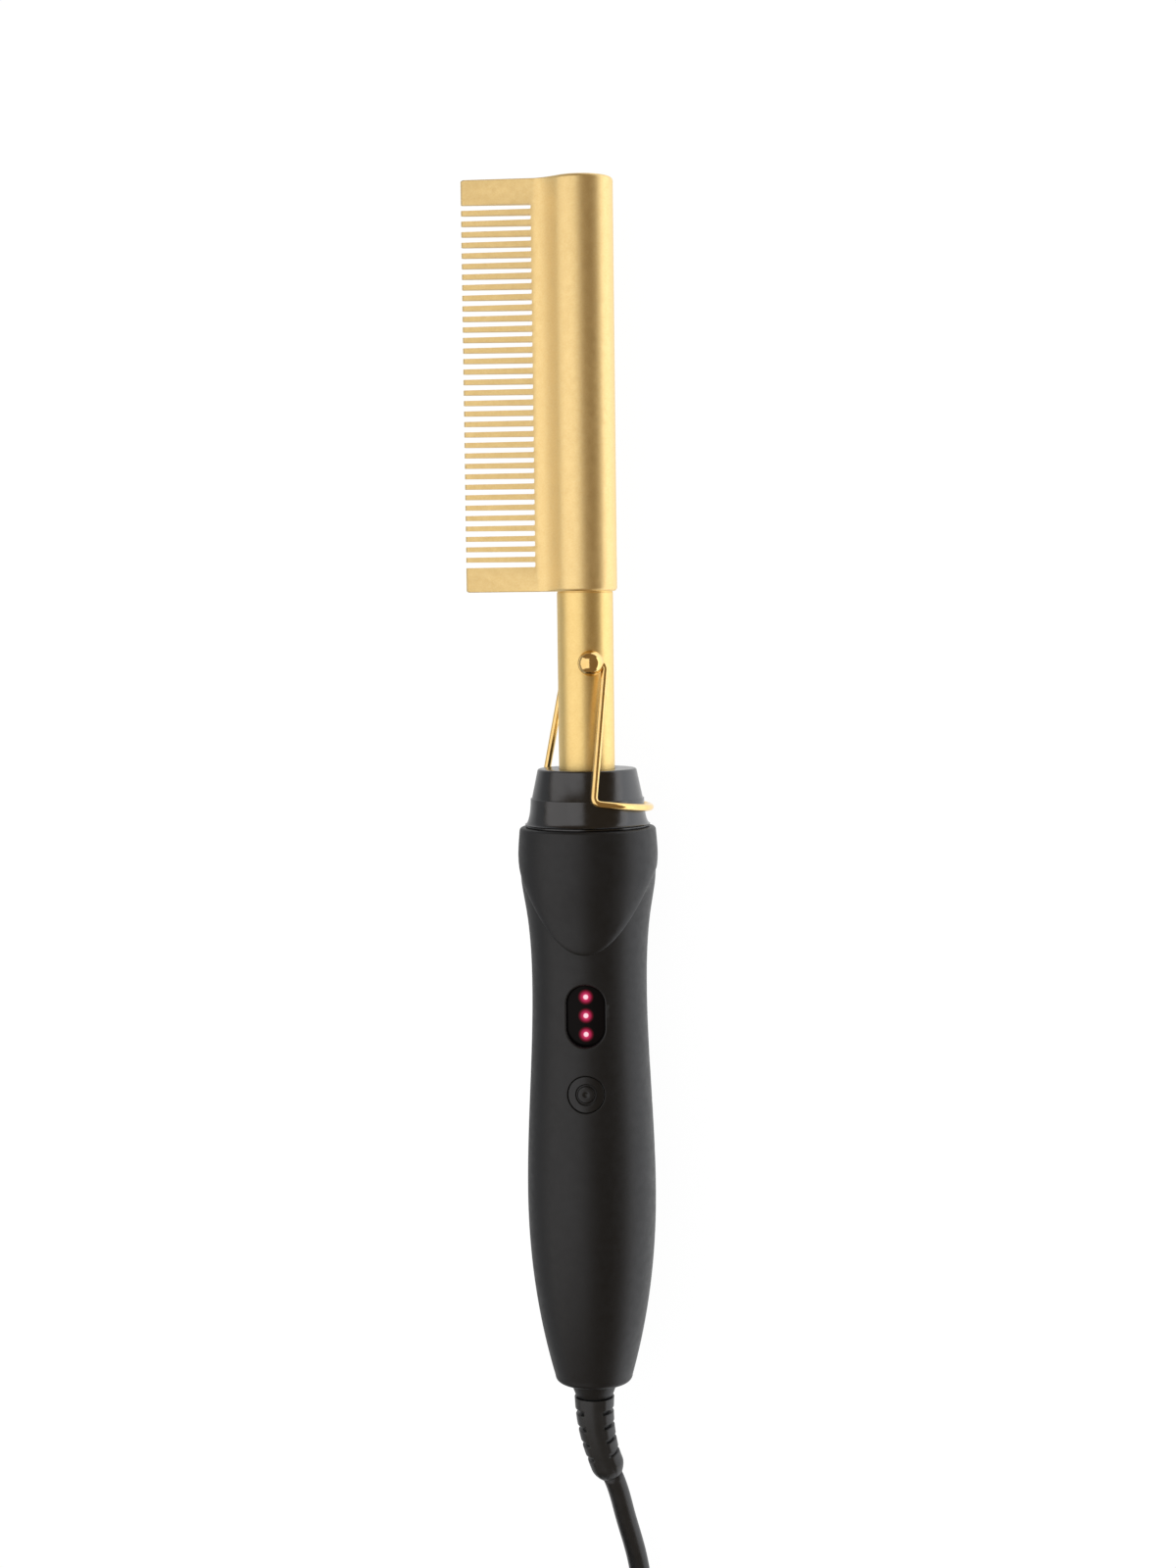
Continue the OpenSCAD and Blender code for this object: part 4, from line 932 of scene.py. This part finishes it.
def oval_points(w, length, h, grow, count):
    """Outline of an upright oval, grown outwards, as (x, height)."""
    r, half = w / 2 + grow, (length - w) / 2
    out = []
    for i in range(count):
        a = 2 * math.pi * (i + 0.5) / count
        out.append((r * math.cos(a), h + r * math.sin(a) + (half if math.sin(a) > 0 else -half)))
    return out


def oval_distance(x, h, w, length, centre):
    """Distance outwards from an oval's outline."""
    half = (length - w) / 2
    return np.hypot(x, np.maximum(np.abs(h - centre) - half, 0)) - w / 2


def tongue_distance(x, h):
    """Distance from the tongue's border, inwards positive, close to the border."""
    slope = 2 * TONGUE_CURVE * x
    return (h - TONGUE_H - TONGUE_CURVE * x * x) / np.sqrt(1 + slope ** 2)


def quarter(d, edge):
    """Drop of a rounded edge at a distance from it."""
    d = np.clip(d, 0, edge)
    return edge - np.sqrt(np.maximum(edge ** 2 - (edge - d) ** 2, 0))


GRIP_TABLE_H = np.linspace(0, HANDLE_TOP, 1200)
GRIP_TABLE_R = np.array([grip_r(h) for h in GRIP_TABLE_H])


def grip(h):
    """Radius of the grip for an array of heights."""
    return np.interp(h, GRIP_TABLE_H, GRIP_TABLE_R)


def step_rise(d):
    """Rise of the shoulder over its border: a short wall with a rounded top."""
    t = np.clip(d / STEP_WIDTH, 0, 1)
    return SHOULDER_RISE * np.sqrt(1 - (1 - t) ** STEP_POWER)


TONGUE_STEPS, TONGUE_TRIES = 121, 12


def tongue_line(d):
    """Line at a distance inside the tongue's border, as (arc, height)."""
    line = []
    for a in np.linspace(-math.pi / 2, math.pi / 2, TONGUE_STEPS):
        h = TONGUE_H
        for _ in range(TONGUE_TRIES):
            x = math.sin(a) * grip_r(min(h, HANDLE_TOP))
            h = TONGUE_H + TONGUE_CURVE * x * x + d * math.sqrt(1 + (2 * TONGUE_CURVE * x) ** 2)
        line.append((a * SKIN_SCALE, h))
    return line


def skin_lines(holes):
    """Lines that the flat skin's triangles follow: closed loops round the holes, and open lines."""
    loops = []
    for w, length, centre, edge in holes:
        sides = OVAL_SIDES if w > 2 * WELL_R else WELL_SIDES
        for t in np.linspace(0, math.pi / 2, 6):
            outline = oval_points(w, length, centre, edge * (1 - math.cos(t)), sides)
            loops.append([(SKIN_SCALE * math.asin(x / grip_r(h)), h) for x, h in outline])
    lines = [tongue_line(STEP_WIDTH * share) for share in (0, 0.04, 0.12, 0.28, 0.55, 1.0)]
    lines += [[(side * (SKIN_HALF - inset), v) for v in np.linspace(V_LOW, V_HIGH, 150)]
              for inset in (0.0, 0.05, 0.11, SEAM_EDGE) for side in (-1, 1)]
    lines += [[(u, v) for u in np.linspace(-SKIN_HALF, SKIN_HALF, 65)]
              for v in (V_LOW, V_HIGH, BORE_TOP_V, INNER_LOW_V)]
    return loops, lines


def flat_skin(holes):
    """Triangulated flat skin: its points and triangles."""
    loops, lines = skin_lines(holes)
    points, edges = [], []
    for line in loops + lines:
        start = len(points)
        points += line
        edges += [(start + i, start + i + 1) for i in range(len(line) - 1)]
        if line in loops:
            edges.append((start + len(line) - 1, start))
    fixed = np.array(points)
    rows = int((V_HIGH - V_LOW) / (SKIN_GRID * GRID_ROWS))
    for k in range(1, rows):
        v = V_LOW + (V_HIGH - V_LOW) * k / rows
        near = fixed[np.abs(fixed[:, 1] - v) < GRID_CLEAR + 0.05]
        shift = SKIN_GRID / 2 if k % 2 else 0
        for u in np.arange(-SKIN_HALF + SKIN_GRID * 0.6 + shift, SKIN_HALF - SKIN_GRID * 0.5, SKIN_GRID):
            if len(near) == 0 or np.min(np.hypot(near[:, 0] - u, near[:, 1] - v)) > GRID_CLEAR:
                points.append((u, v))
    flat, _, faces, *_ = geometry.delaunay_2d_cdt([Vector(p) for p in points], edges, [], 0, 1e-5)
    flat = np.array([tuple(p) for p in flat])
    kept = []
    for face in faces:
        u, v = flat[list(face)].mean(axis=0)
        x = grip(v) * math.sin(u / SKIN_SCALE)
        if all(oval_distance(x, v, w, length, centre) > 0 for w, length, centre, _ in holes):
            kept.append(tuple(face))
    return flat, kept


def open_edges(faces):
    """Edges that only one face uses."""
    uses = {}
    for face in faces:
        for a, b in zip(face, face[1:] + face[:1]):
            key = (min(a, b), max(a, b))
            uses[key] = uses.get(key, 0) + 1
    return [edge for edge, count in uses.items() if count == 1]


def make_well(h):
    """Tube that a shell screw's head sits in, behind the rear shell's skin."""
    top = grip_r(h) - WALL + 0.3
    outer, low, floor_d = WELL_R + WELL_WALL, SCREW_SEAT - WELL_WALL, SCREW_SEAT + 0.02
    profile = [(WELL_BORE_R, low), (outer, low), (outer, top), (WELL_R, top), (WELL_R, floor_d),
               (WELL_BORE_R, floor_d)]
    return turned("well", profile, WELL_SIDES, lambda x, z, d: spot(x, d, h + z), closed=True)


def make_shell(name, side, holes, node, wells):
    """One handle shell: outer and inner skins, closed round the holes, at the ends and at the seam."""
    flat, faces = flat_skin(holes)
    count = len(flat)
    u, v = flat[:, 0], flat[:, 1]
    angle = u / SKIN_SCALE
    seam = quarter(SKIN_HALF - np.abs(u), SEAM_EDGE)
    grip_at = grip(v)
    x = grip_at * np.sin(angle)
    outer_r = grip_at + step_rise(tongue_distance(x, v)) - seam
    hole_gap = np.full(count, np.inf)
    for w, length, centre, edge in holes:
        gap = oval_distance(x, v, w, length, centre)
        outer_r = outer_r - quarter(gap, edge) * (gap < edge)
        hole_gap = np.minimum(hole_gap, gap)
    # Close to a hole both skins keep the grip's x, so that the hole's wall runs straight in
    outer_x = np.where(hole_gap < HOLE_RIM, x, x * (outer_r / grip_at))
    outer_y = side * np.sqrt(np.maximum(outer_r ** 2 - outer_x ** 2, 0))
    # Below the bottom wall the inner skin turns in to the swivel's bore
    bore = np.clip((INNER_LOW_V - v) / (INNER_LOW_V - BORE_TOP_V), 0, 1)
    inner_r = (grip_at - WALL) * (1 - bore) + BORE_R * bore
    in_bore = BORE_LOW + (BOTTOM_WALL - BORE_LOW) * (v - V_LOW) / (BORE_TOP_V - V_LOW)
    inner_h = np.where(v < BORE_TOP_V, in_bore, np.where(v < INNER_LOW_V, BOTTOM_WALL, v))
    away = np.clip(hole_gap / HOLE_REACH, 0, 1)
    inner_x = x * (1 - away + away * inner_r / grip_at)
    inner_y = side * np.sqrt(np.maximum(inner_r ** 2 - inner_x ** 2, 0))

    points = [spot(*p) for p in zip(outer_x, outer_y, v)]
    points += [spot(*p) for p in zip(inner_x, inner_y, inner_h)]
    mesh_faces = faces + [tuple(count + i for i in reversed(face)) for face in faces]
    borders = [np.abs(np.abs(u) - SKIN_HALF) < ON_LINE, np.abs(v - V_LOW) < ON_LINE,
               np.abs(v - V_HIGH) < ON_LINE]
    mesh_faces += [(a, b, count + b, count + a) for a, b in open_edges(faces)
                   if not any(border[a] and border[b] for border in borders)]

    def on_line(places, line, along):
        """The flat skin's points on a border line, in order along it."""
        found = [i for i in range(count) if abs(places[i] - line) < ON_LINE]
        return sorted(found, key=lambda i: along[i])

    def end_rings(row, end, way, edge, inner):
        """Rings from the outer border round a rim and over the end face to the inner border."""
        radii = [(outer_r[row] - edge * (1 - math.cos(t)), end + way * edge * (math.sin(t) - 1))
                 for t in np.linspace(0, math.pi / 2, 9)[1:]]
        radii += [(r - seam[row] * share, h) for r, share, h in inner]
        rings = [row]
        for r, h in radii:
            rings.append(range(len(points), len(points) + len(row)))
            outwards = side * r * np.maximum(np.cos(angle[row]), 0)
            points.extend(spot(a, b, h) for a, b in zip(r * np.sin(angle[row]), outwards))
        rings.append([count + i for i in row])
        for a, b in zip(rings, rings[1:]):
            mesh_faces.extend((a[j], a[j + 1], b[j + 1], b[j]) for j in range(len(row) - 1))
        return rings

    # Inside each rim: radius, share of the seam's edge, and height
    top = end_rings(on_line(v, V_HIGH, u), HANDLE_TOP, 1, TOP_EDGE, [(RIM_R - WALL, 0, HANDLE_TOP)])
    low = end_rings(on_line(v, V_LOW, u), 0, -1, BOTTOM_EDGE,
                    [(JOURNAL_R + 0.3, 1, 0), (BORE_R, 0, 0.2)])
    for pick, line_u in ((0, -SKIN_HALF), (-1, SKIN_HALF)):
        column = on_line(u, line_u, v)
        loop = column + [ring[pick] for ring in top[1:-1]]
        loop += [count + i for i in reversed(column)] + [ring[pick] for ring in reversed(low[1:-1])]
        mesh_faces.append(tuple(loop))
    piece = crisp(joined(name, make_piece("shell", points, mesh_faces), *wells), 40)
    finish_piece(piece, "handle_black", "handle", node)


make_shell("front_shell_moulded", -1,
           [(WINDOW_W, WINDOW_LEN, WINDOW_H, WINDOW_EDGE),
            (2 * BUTTON_R + 0.1, 2 * BUTTON_R + 0.1, BUTTON_H, BUTTON_EDGE)], "front_shell", [])
make_shell("rear_shell_moulded", 1, [(2 * WELL_R, 2 * WELL_R, h, WELL_EDGE) for h in SCREW_HEIGHTS],
           "rear_shell", [make_well(h) for h in SCREW_HEIGHTS])


# Window lens: a flat oval, a little domed, with a softened edge

def make_lens():
    w, length = WINDOW_W - 0.06, WINDOW_LEN - 0.06
    back, face = LENS_FACE - LENS_T, LENS_FACE - 0.02
    middle = -w / 2 + 0.001
    levels = [(middle, back), (0, back), (0, face - 0.35), (-0.06, face - 0.18), (-0.2, face - 0.08)]
    levels += [(-g, face - 0.08 * (1 - (g - 0.2) / 4) ** 2) for g in (0.6, 1.2, 2.0, 3.0, 4.0)]
    levels += [(middle, face)]
    points = [spot(x, -depth, h) for grow, depth in levels
              for x, h in oval_points(w, length, WINDOW_H, grow, OVAL_SIDES)]
    faces = ring_faces(len(levels), OVAL_SIDES) + end_caps(len(levels), OVAL_SIDES)
    lens = crisp(make_piece("indicator_lens_oval", points, faces), 45)
    finish_piece(lens, "lens_red", "handle", "indicator_lens")


make_lens()


# Power button: flush with the grip, with a sunk ring and a dot

MARK_R, MARK_W, MARK_DEPTH = 2.3, 0.3, 0.36
DOT_DEPTH = 0.2
BUTTON_SOFT = 0.3
BUTTON_FLANGE_R, BUTTON_FLANGE_T = BUTTON_R + 1.1, 0.9


def make_button():
    base = BUTTON_SEAT - 0.05
    sides = 96
    low = base - BUTTON_FLANGE_T
    flat = [(POLE_R, low), (BUTTON_FLANGE_R, low), (BUTTON_FLANGE_R, base), (BUTTON_R, base)]
    sunk = [(BUTTON_R - BUTTON_SOFT + BUTTON_SOFT * math.cos(t), BUTTON_SOFT * (1 - math.sin(t)))
            for t in np.linspace(0, math.pi / 2, 7)]
    sunk += [(3.6, 0), (3.1, 0), (2.8, 0)]
    sunk += [(MARK_R + off, MARK_DEPTH * share) for off, share in (
        (MARK_W + 0.08, 0), (MARK_W, 0.25), (MARK_W - 0.08, 0.8), (0.08, 1), (-0.08, 1),
        (-MARK_W + 0.08, 0.8), (-MARK_W, 0.25), (-MARK_W - 0.08, 0))]
    sunk += [(1.6, 0), (1.1, 0)]
    sunk += [(r, DOT_DEPTH * share)
             for r, share in ((0.62, 0), (0.52, 0.3), (0.42, 0.9), (0.3, 1), (POLE_R, 1))]
    around = circle(sides)
    points = [spot(r * c, -depth, BUTTON_H + r * s) for r, depth in flat for c, s in around]
    for r, drop in sunk:
        for c, s in around:
            x, h = r * c, BUTTON_H + r * s
            points.append(spot(x, drop - math.sqrt((grip_r(h) - 0.1) ** 2 - x * x), h))
    faces = ring_faces(len(flat) + len(sunk), sides)
    piece = crisp(make_piece("power_button_moulded", points, faces), 50)
    finish_piece(piece, "button_black", "button", "power_button")


make_button()


# Swivel cone and strain relief

SWIVEL_FLANGE_R, SWIVEL_FLANGE_T = 8.2, 3.2
SWIVEL_STEM_R, SWIVEL_STEM_TOP = 3.6, 24.3
RIB_SOFT = 0.35
RELIEF_SLICE = 0.12
PANEL_FROM, PANEL_BLEND, PANEL_SINK = 0.80, 0.07, 0.12


def make_swivel():
    flange = BOTTOM_WALL + 0.05
    top = flange + SWIVEL_FLANGE_T
    profile = [(0, -CONE_LEN + 0.02), (2.9, -CONE_LEN + 0.02), (CONE_END_R - 0.35, -CONE_LEN),
               (CONE_END_R - 0.1, -CONE_LEN + 0.08), (CONE_END_R + 0.02, -CONE_LEN + 0.3),
               (JOURNAL_R - 0.06, -0.35), (JOURNAL_R, -0.1), (JOURNAL_R, flange),
               (SWIVEL_FLANGE_R, flange), (SWIVEL_FLANGE_R, top), (SWIVEL_STEM_R, top),
               (SWIVEL_STEM_R, SWIVEL_STEM_TOP), (0, SWIVEL_STEM_TOP)]
    piece = crisp(turned("swivel_cone", profile, 96))
    return finish_piece(piece, "swivel_black", "cord", "swivel_socket")


def relief_radii(d):
    """Radius over the ribs, and radius of the rib or gap, at a distance down the strain relief."""
    ribs_to = RIB_STEP * (RIB_COUNT - 1)
    full = RELIEF_TOP_R + (RELIEF_END_R - RELIEF_TOP_R) * min(1, d / ribs_to)
    if d > ribs_to + RIB_T:
        full -= 1.25 * ((d - ribs_to - RIB_T) / (RELIEF_LEN - ribs_to - RIB_T)) ** 1.8
    index = min(int(d // RIB_STEP), RIB_COUNT - 1)
    place = d - index * RIB_STEP
    last = index == RIB_COUNT - 1
    if place >= RIB_T and not last:
        return full, RELIEF_CORE_R
    gap = place if last else min(place, RIB_T - place)
    softened = index > 0 or place > 0.5
    return full, full - (float(quarter(gap, RIB_SOFT)) if softened else 0)


def make_relief():
    """Ribbed tube along the relief's bend; a smooth panel runs down its front and its back."""
    sides = 96
    around = circle(sides)
    count = round(RELIEF_LEN / RELIEF_SLICE)
    points = []
    for i in range(count + 1):
        d = RELIEF_LEN * i / count
        centre, way = along_relief(d)
        heading = way.normalized()
        side = (Vector((1, 0, 0)) - heading * heading.x).normalized()
        lift = side.cross(heading)
        if lift.z < 0:
            lift = -lift
        full, ribbed = relief_radii(d)
        for c, s in around:
            panel = smooth_step((abs(s) - PANEL_FROM) / PANEL_BLEND)
            r = ribbed + (full - PANEL_SINK - ribbed) * panel
            points.append((centre + r * (c * side + s * lift)) * MM)
    faces = ring_faces(count + 1, sides) + end_caps(count + 1, sides)
    piece = crisp(make_piece("strain_relief_ribbed", points, faces), 50)
    return finish_piece(piece, "relief_black", "cord", "strain_relief")


# Tie: a closed strap round the bundle, an upright rounded loop in a plane through the coil's axis

TIE_CORNER_R, TIE_SOFT = 3.0, 0.3
QUARTER_TURNS = ((1, 1, 0), (-1, 1, 90), (-1, -1, 180), (1, -1, 270))


def make_tie():
    low_r, high_r = TIE_LOW_R - TIE_T / 2, COIL_OUT + CORD_D / 2 + TIE_GAP + TIE_T / 2
    low_z, high_z = TIE_T / 2, COIL_TOP + TIE_GAP + TIE_T / 2
    mid_r, mid_z = (low_r + high_r) / 2, (low_z + high_z) / 2
    half_r, half_z = mid_r - low_r - TIE_CORNER_R, mid_z - low_z - TIE_CORNER_R
    loop = []
    for across, rise, start in QUARTER_TURNS:
        for a in np.linspace(math.radians(start), math.radians(start + 90), 9):
            c, s = math.cos(a), math.sin(a)
            loop.append((mid_r + across * half_r + TIE_CORNER_R * c,
                         mid_z + rise * half_z + TIE_CORNER_R * s, c, s))
    half_w, half_t = TIE_W / 2 - TIE_SOFT, TIE_T / 2 - TIE_SOFT
    section = [p for w, t, start in QUARTER_TURNS
               for p in arc_corner(w * half_w, t * half_t, TIE_SOFT, start, start + 90, 4)]
    out = Vector((math.cos(TIE_ANGLE), math.sin(TIE_ANGLE), 0))
    across = Vector((-out.y, out.x, 0))
    points = [(coil_centre + out * (r + n * c) + across * w + Vector((0, 0, z + n * s))) * MM
              for r, z, c, s in loop for w, n in section]
    piece = make_piece("cord_tie_strap", points, ring_faces(len(loop), len(section), closed=True))
    return finish_piece(piece, "tie_grey", "cord", "cord_tie")


# Plug and pins

PLUG_SOFT = 2.0
PLUG_SIDES = 64
PLUG_BORE_R = 2.3
PLUG_FLARE_FROM, PLUG_FLARE_LEN = 1.2, 15.5
RING_COUNT, RING_STEP = 4, 2.4
RIDGE_COUNT, RIDGE_STEP, RIDGE_FIRST = 5, 3.0, 10.5
RIDGE_HALF_W, RIDGE_H, RIDGE_R, RIDGE_SINK = 6.0, 0.55, 0.8, 0.8


def plug_spot(x, z, d):
    """Point of the plug: across, up, and at a distance from the cord's end towards the pins."""
    return Vector((plug_entry.x + x, plug_entry.y - d, plug_entry.z + z)) * MM


def plug_outline():
    """Outline as (across, distance from the neck's end), from one side of the neck to the other."""
    half, neck = PLUG_W / 2, PLUG_NECK_W / 2
    side = [(neck - 0.6, 0), (neck - 0.15, 0.15), (neck, 0.6)]
    side += [(neck + (half - neck) * smooth_step(t), PLUG_FLARE_FROM + PLUG_FLARE_LEN * t)
             for t in np.linspace(0.06, 1, 16)]
    side += arc_corner(half - PLUG_CORNER_R, PLUG_LEN - PLUG_CORNER_R, PLUG_CORNER_R, 0, 90, 8)
    return side + [(-x, y) for x, y in reversed(side)]


def plug_shell():
    """Body of the plug: its outline with rounded rims and a sunk face on both sides."""
    outline = [Vector(p) for p in plug_outline()]
    count = len(outline)
    half_t = PLUG_T / 2
    rim = [(PLUG_SOFT * (1 - math.cos(t)), half_t - PLUG_SOFT * (1 - math.sin(t)))
           for t in np.linspace(0, math.pi / 2, 7)]
    rim += [(4.2, half_t), (4.35, half_t - 0.1), (4.5, half_t - 0.45), (4.7, half_t - 0.6)]
    levels = [(inset, -z) for inset, z in reversed(rim)] + rim
    points = []
    for inset, z in levels:
        for i, p in enumerate(outline):
            along = (outline[(i + 1) % count] - outline[i - 1]).normalized()
            room = min(1.0, (p.y + 2.0) / 8.0) if inset > PLUG_SOFT else 1.0
            q = p - Vector((along.y, -along.x)) * inset * (0.35 + 0.65 * room)
            points.append(plug_spot(q.x, z, PLUG_RELIEF_LEN + q.y))
    faces = ring_faces(len(levels), count) + end_caps(len(levels), count)
    return make_piece("plug_shell", points, faces)


def plug_neck():
    """The plug's own strain relief, a cone with grooves."""
    low, high = CORD_D / 2 + 0.9, PLUG_NECK_W / 2 - 0.8
    profile = [(PLUG_BORE_R, 0), (low - 0.3, 0), (low, 0.3)]
    for i in range(RING_COUNT):
        d = 0.8 + i * RING_STEP
        r = low + (high - low) * (d + 0.8) / PLUG_RELIEF_LEN
        profile += [(r - 0.75, d), (r - 0.7, d + 0.1), (r - 0.05, d + 0.75), (r, d + 0.9),
                    (r + 0.1, d + 2.1), (r, d + 2.25)]
    profile += [(high - 0.2, PLUG_RELIEF_LEN - 0.4), (high, PLUG_RELIEF_LEN + 1.0),
                (PLUG_BORE_R, PLUG_RELIEF_LEN + 1.0)]
    return turned("plug_neck", profile, PLUG_SIDES, plug_spot, closed=True)


def plug_ridge(face, index):
    """One half-round grip ridge across a face of the plug; they widen towards the pins."""
    d = PLUG_RELIEF_LEN + RIDGE_FIRST + index * RIDGE_STEP
    half_w = RIDGE_HALF_W + index * 0.9
    base = PLUG_T / 2 - RIDGE_SINK
    points = [plug_spot(s * half_w, face * (base + RIDGE_H * math.sin(a)), d + RIDGE_R * math.cos(a))
              for a in np.linspace(0, math.pi, 9) for s in (-1, 1)]
    faces = [(2 * k, 2 * k + 1, 2 * k + 3, 2 * k + 2) for k in range(8)]
    faces += [(0, 1, 17, 16), tuple(range(0, 18, 2)), tuple(range(1, 18, 2))]
    return make_piece("plug_ridge", points, faces)


def make_plug():
    ridges = [plug_ridge(face, i) for face in (-1, 1) for i in range(RIDGE_COUNT)]
    piece = crisp(joined("plug_body_moulded", plug_shell(), plug_neck(), *ridges), 45)
    return finish_piece(piece, "plug_black", "cord", "plug_body")


def pin_pair(name, profile, closed):
    """Turned pieces along both pins; the profile is (radius, distance from the cord's end)."""
    pair = [turned("pin", profile, 40, lambda x, z, d: plug_spot(middle + x, z, d), closed)
            for middle in (-PIN_SPACING / 2, PIN_SPACING / 2)]
    return crisp(joined(name, *pair), 40)


def make_pins():
    base = PLUG_RELIEF_LEN + PLUG_LEN
    tip = base + PIN_LEN
    step = base + PIN_SLEEVE_LEN
    profile = [(0, base - 6), (PIN_CORE_R, base - 6), (PIN_CORE_R, step), (PIN_R - 0.15, step),
               (PIN_R, step + 0.15)]
    profile += [(PIN_R * math.cos(t), tip - PIN_R + PIN_R * math.sin(t))
                for t in np.linspace(0, math.pi / 2, 10)]
    metal = pin_pair("plug_pins_round", profile, closed=False)
    end = step - 0.02
    inner = PIN_CORE_R + 0.02
    cover = [(inner, base - 0.3), (PIN_SLEEVE_R, base - 0.3), (PIN_SLEEVE_R, end - 0.2),
             (PIN_SLEEVE_R - 0.15, end), (inner, end)]
    sleeves = pin_pair("pin_sleeves_moulded", cover, closed=True)
    return [finish_piece(metal, "pin_nickel", "cord", "plug_pins"),
            finish_piece(sleeves, "pin_sleeve_black", "cord", "pin_sleeves")]


cord_pieces = [make_swivel(), make_relief(), make_tie(), make_plug(), *make_pins()]


# Mains cord, from the strain relief round its coil to the plug

cord = tube("mains_cord", cord_route, CORD_D / 2, 20)
finish_piece(cord, "cord_black", "cord", "power_cord", "cord_coil", "cord_tail")
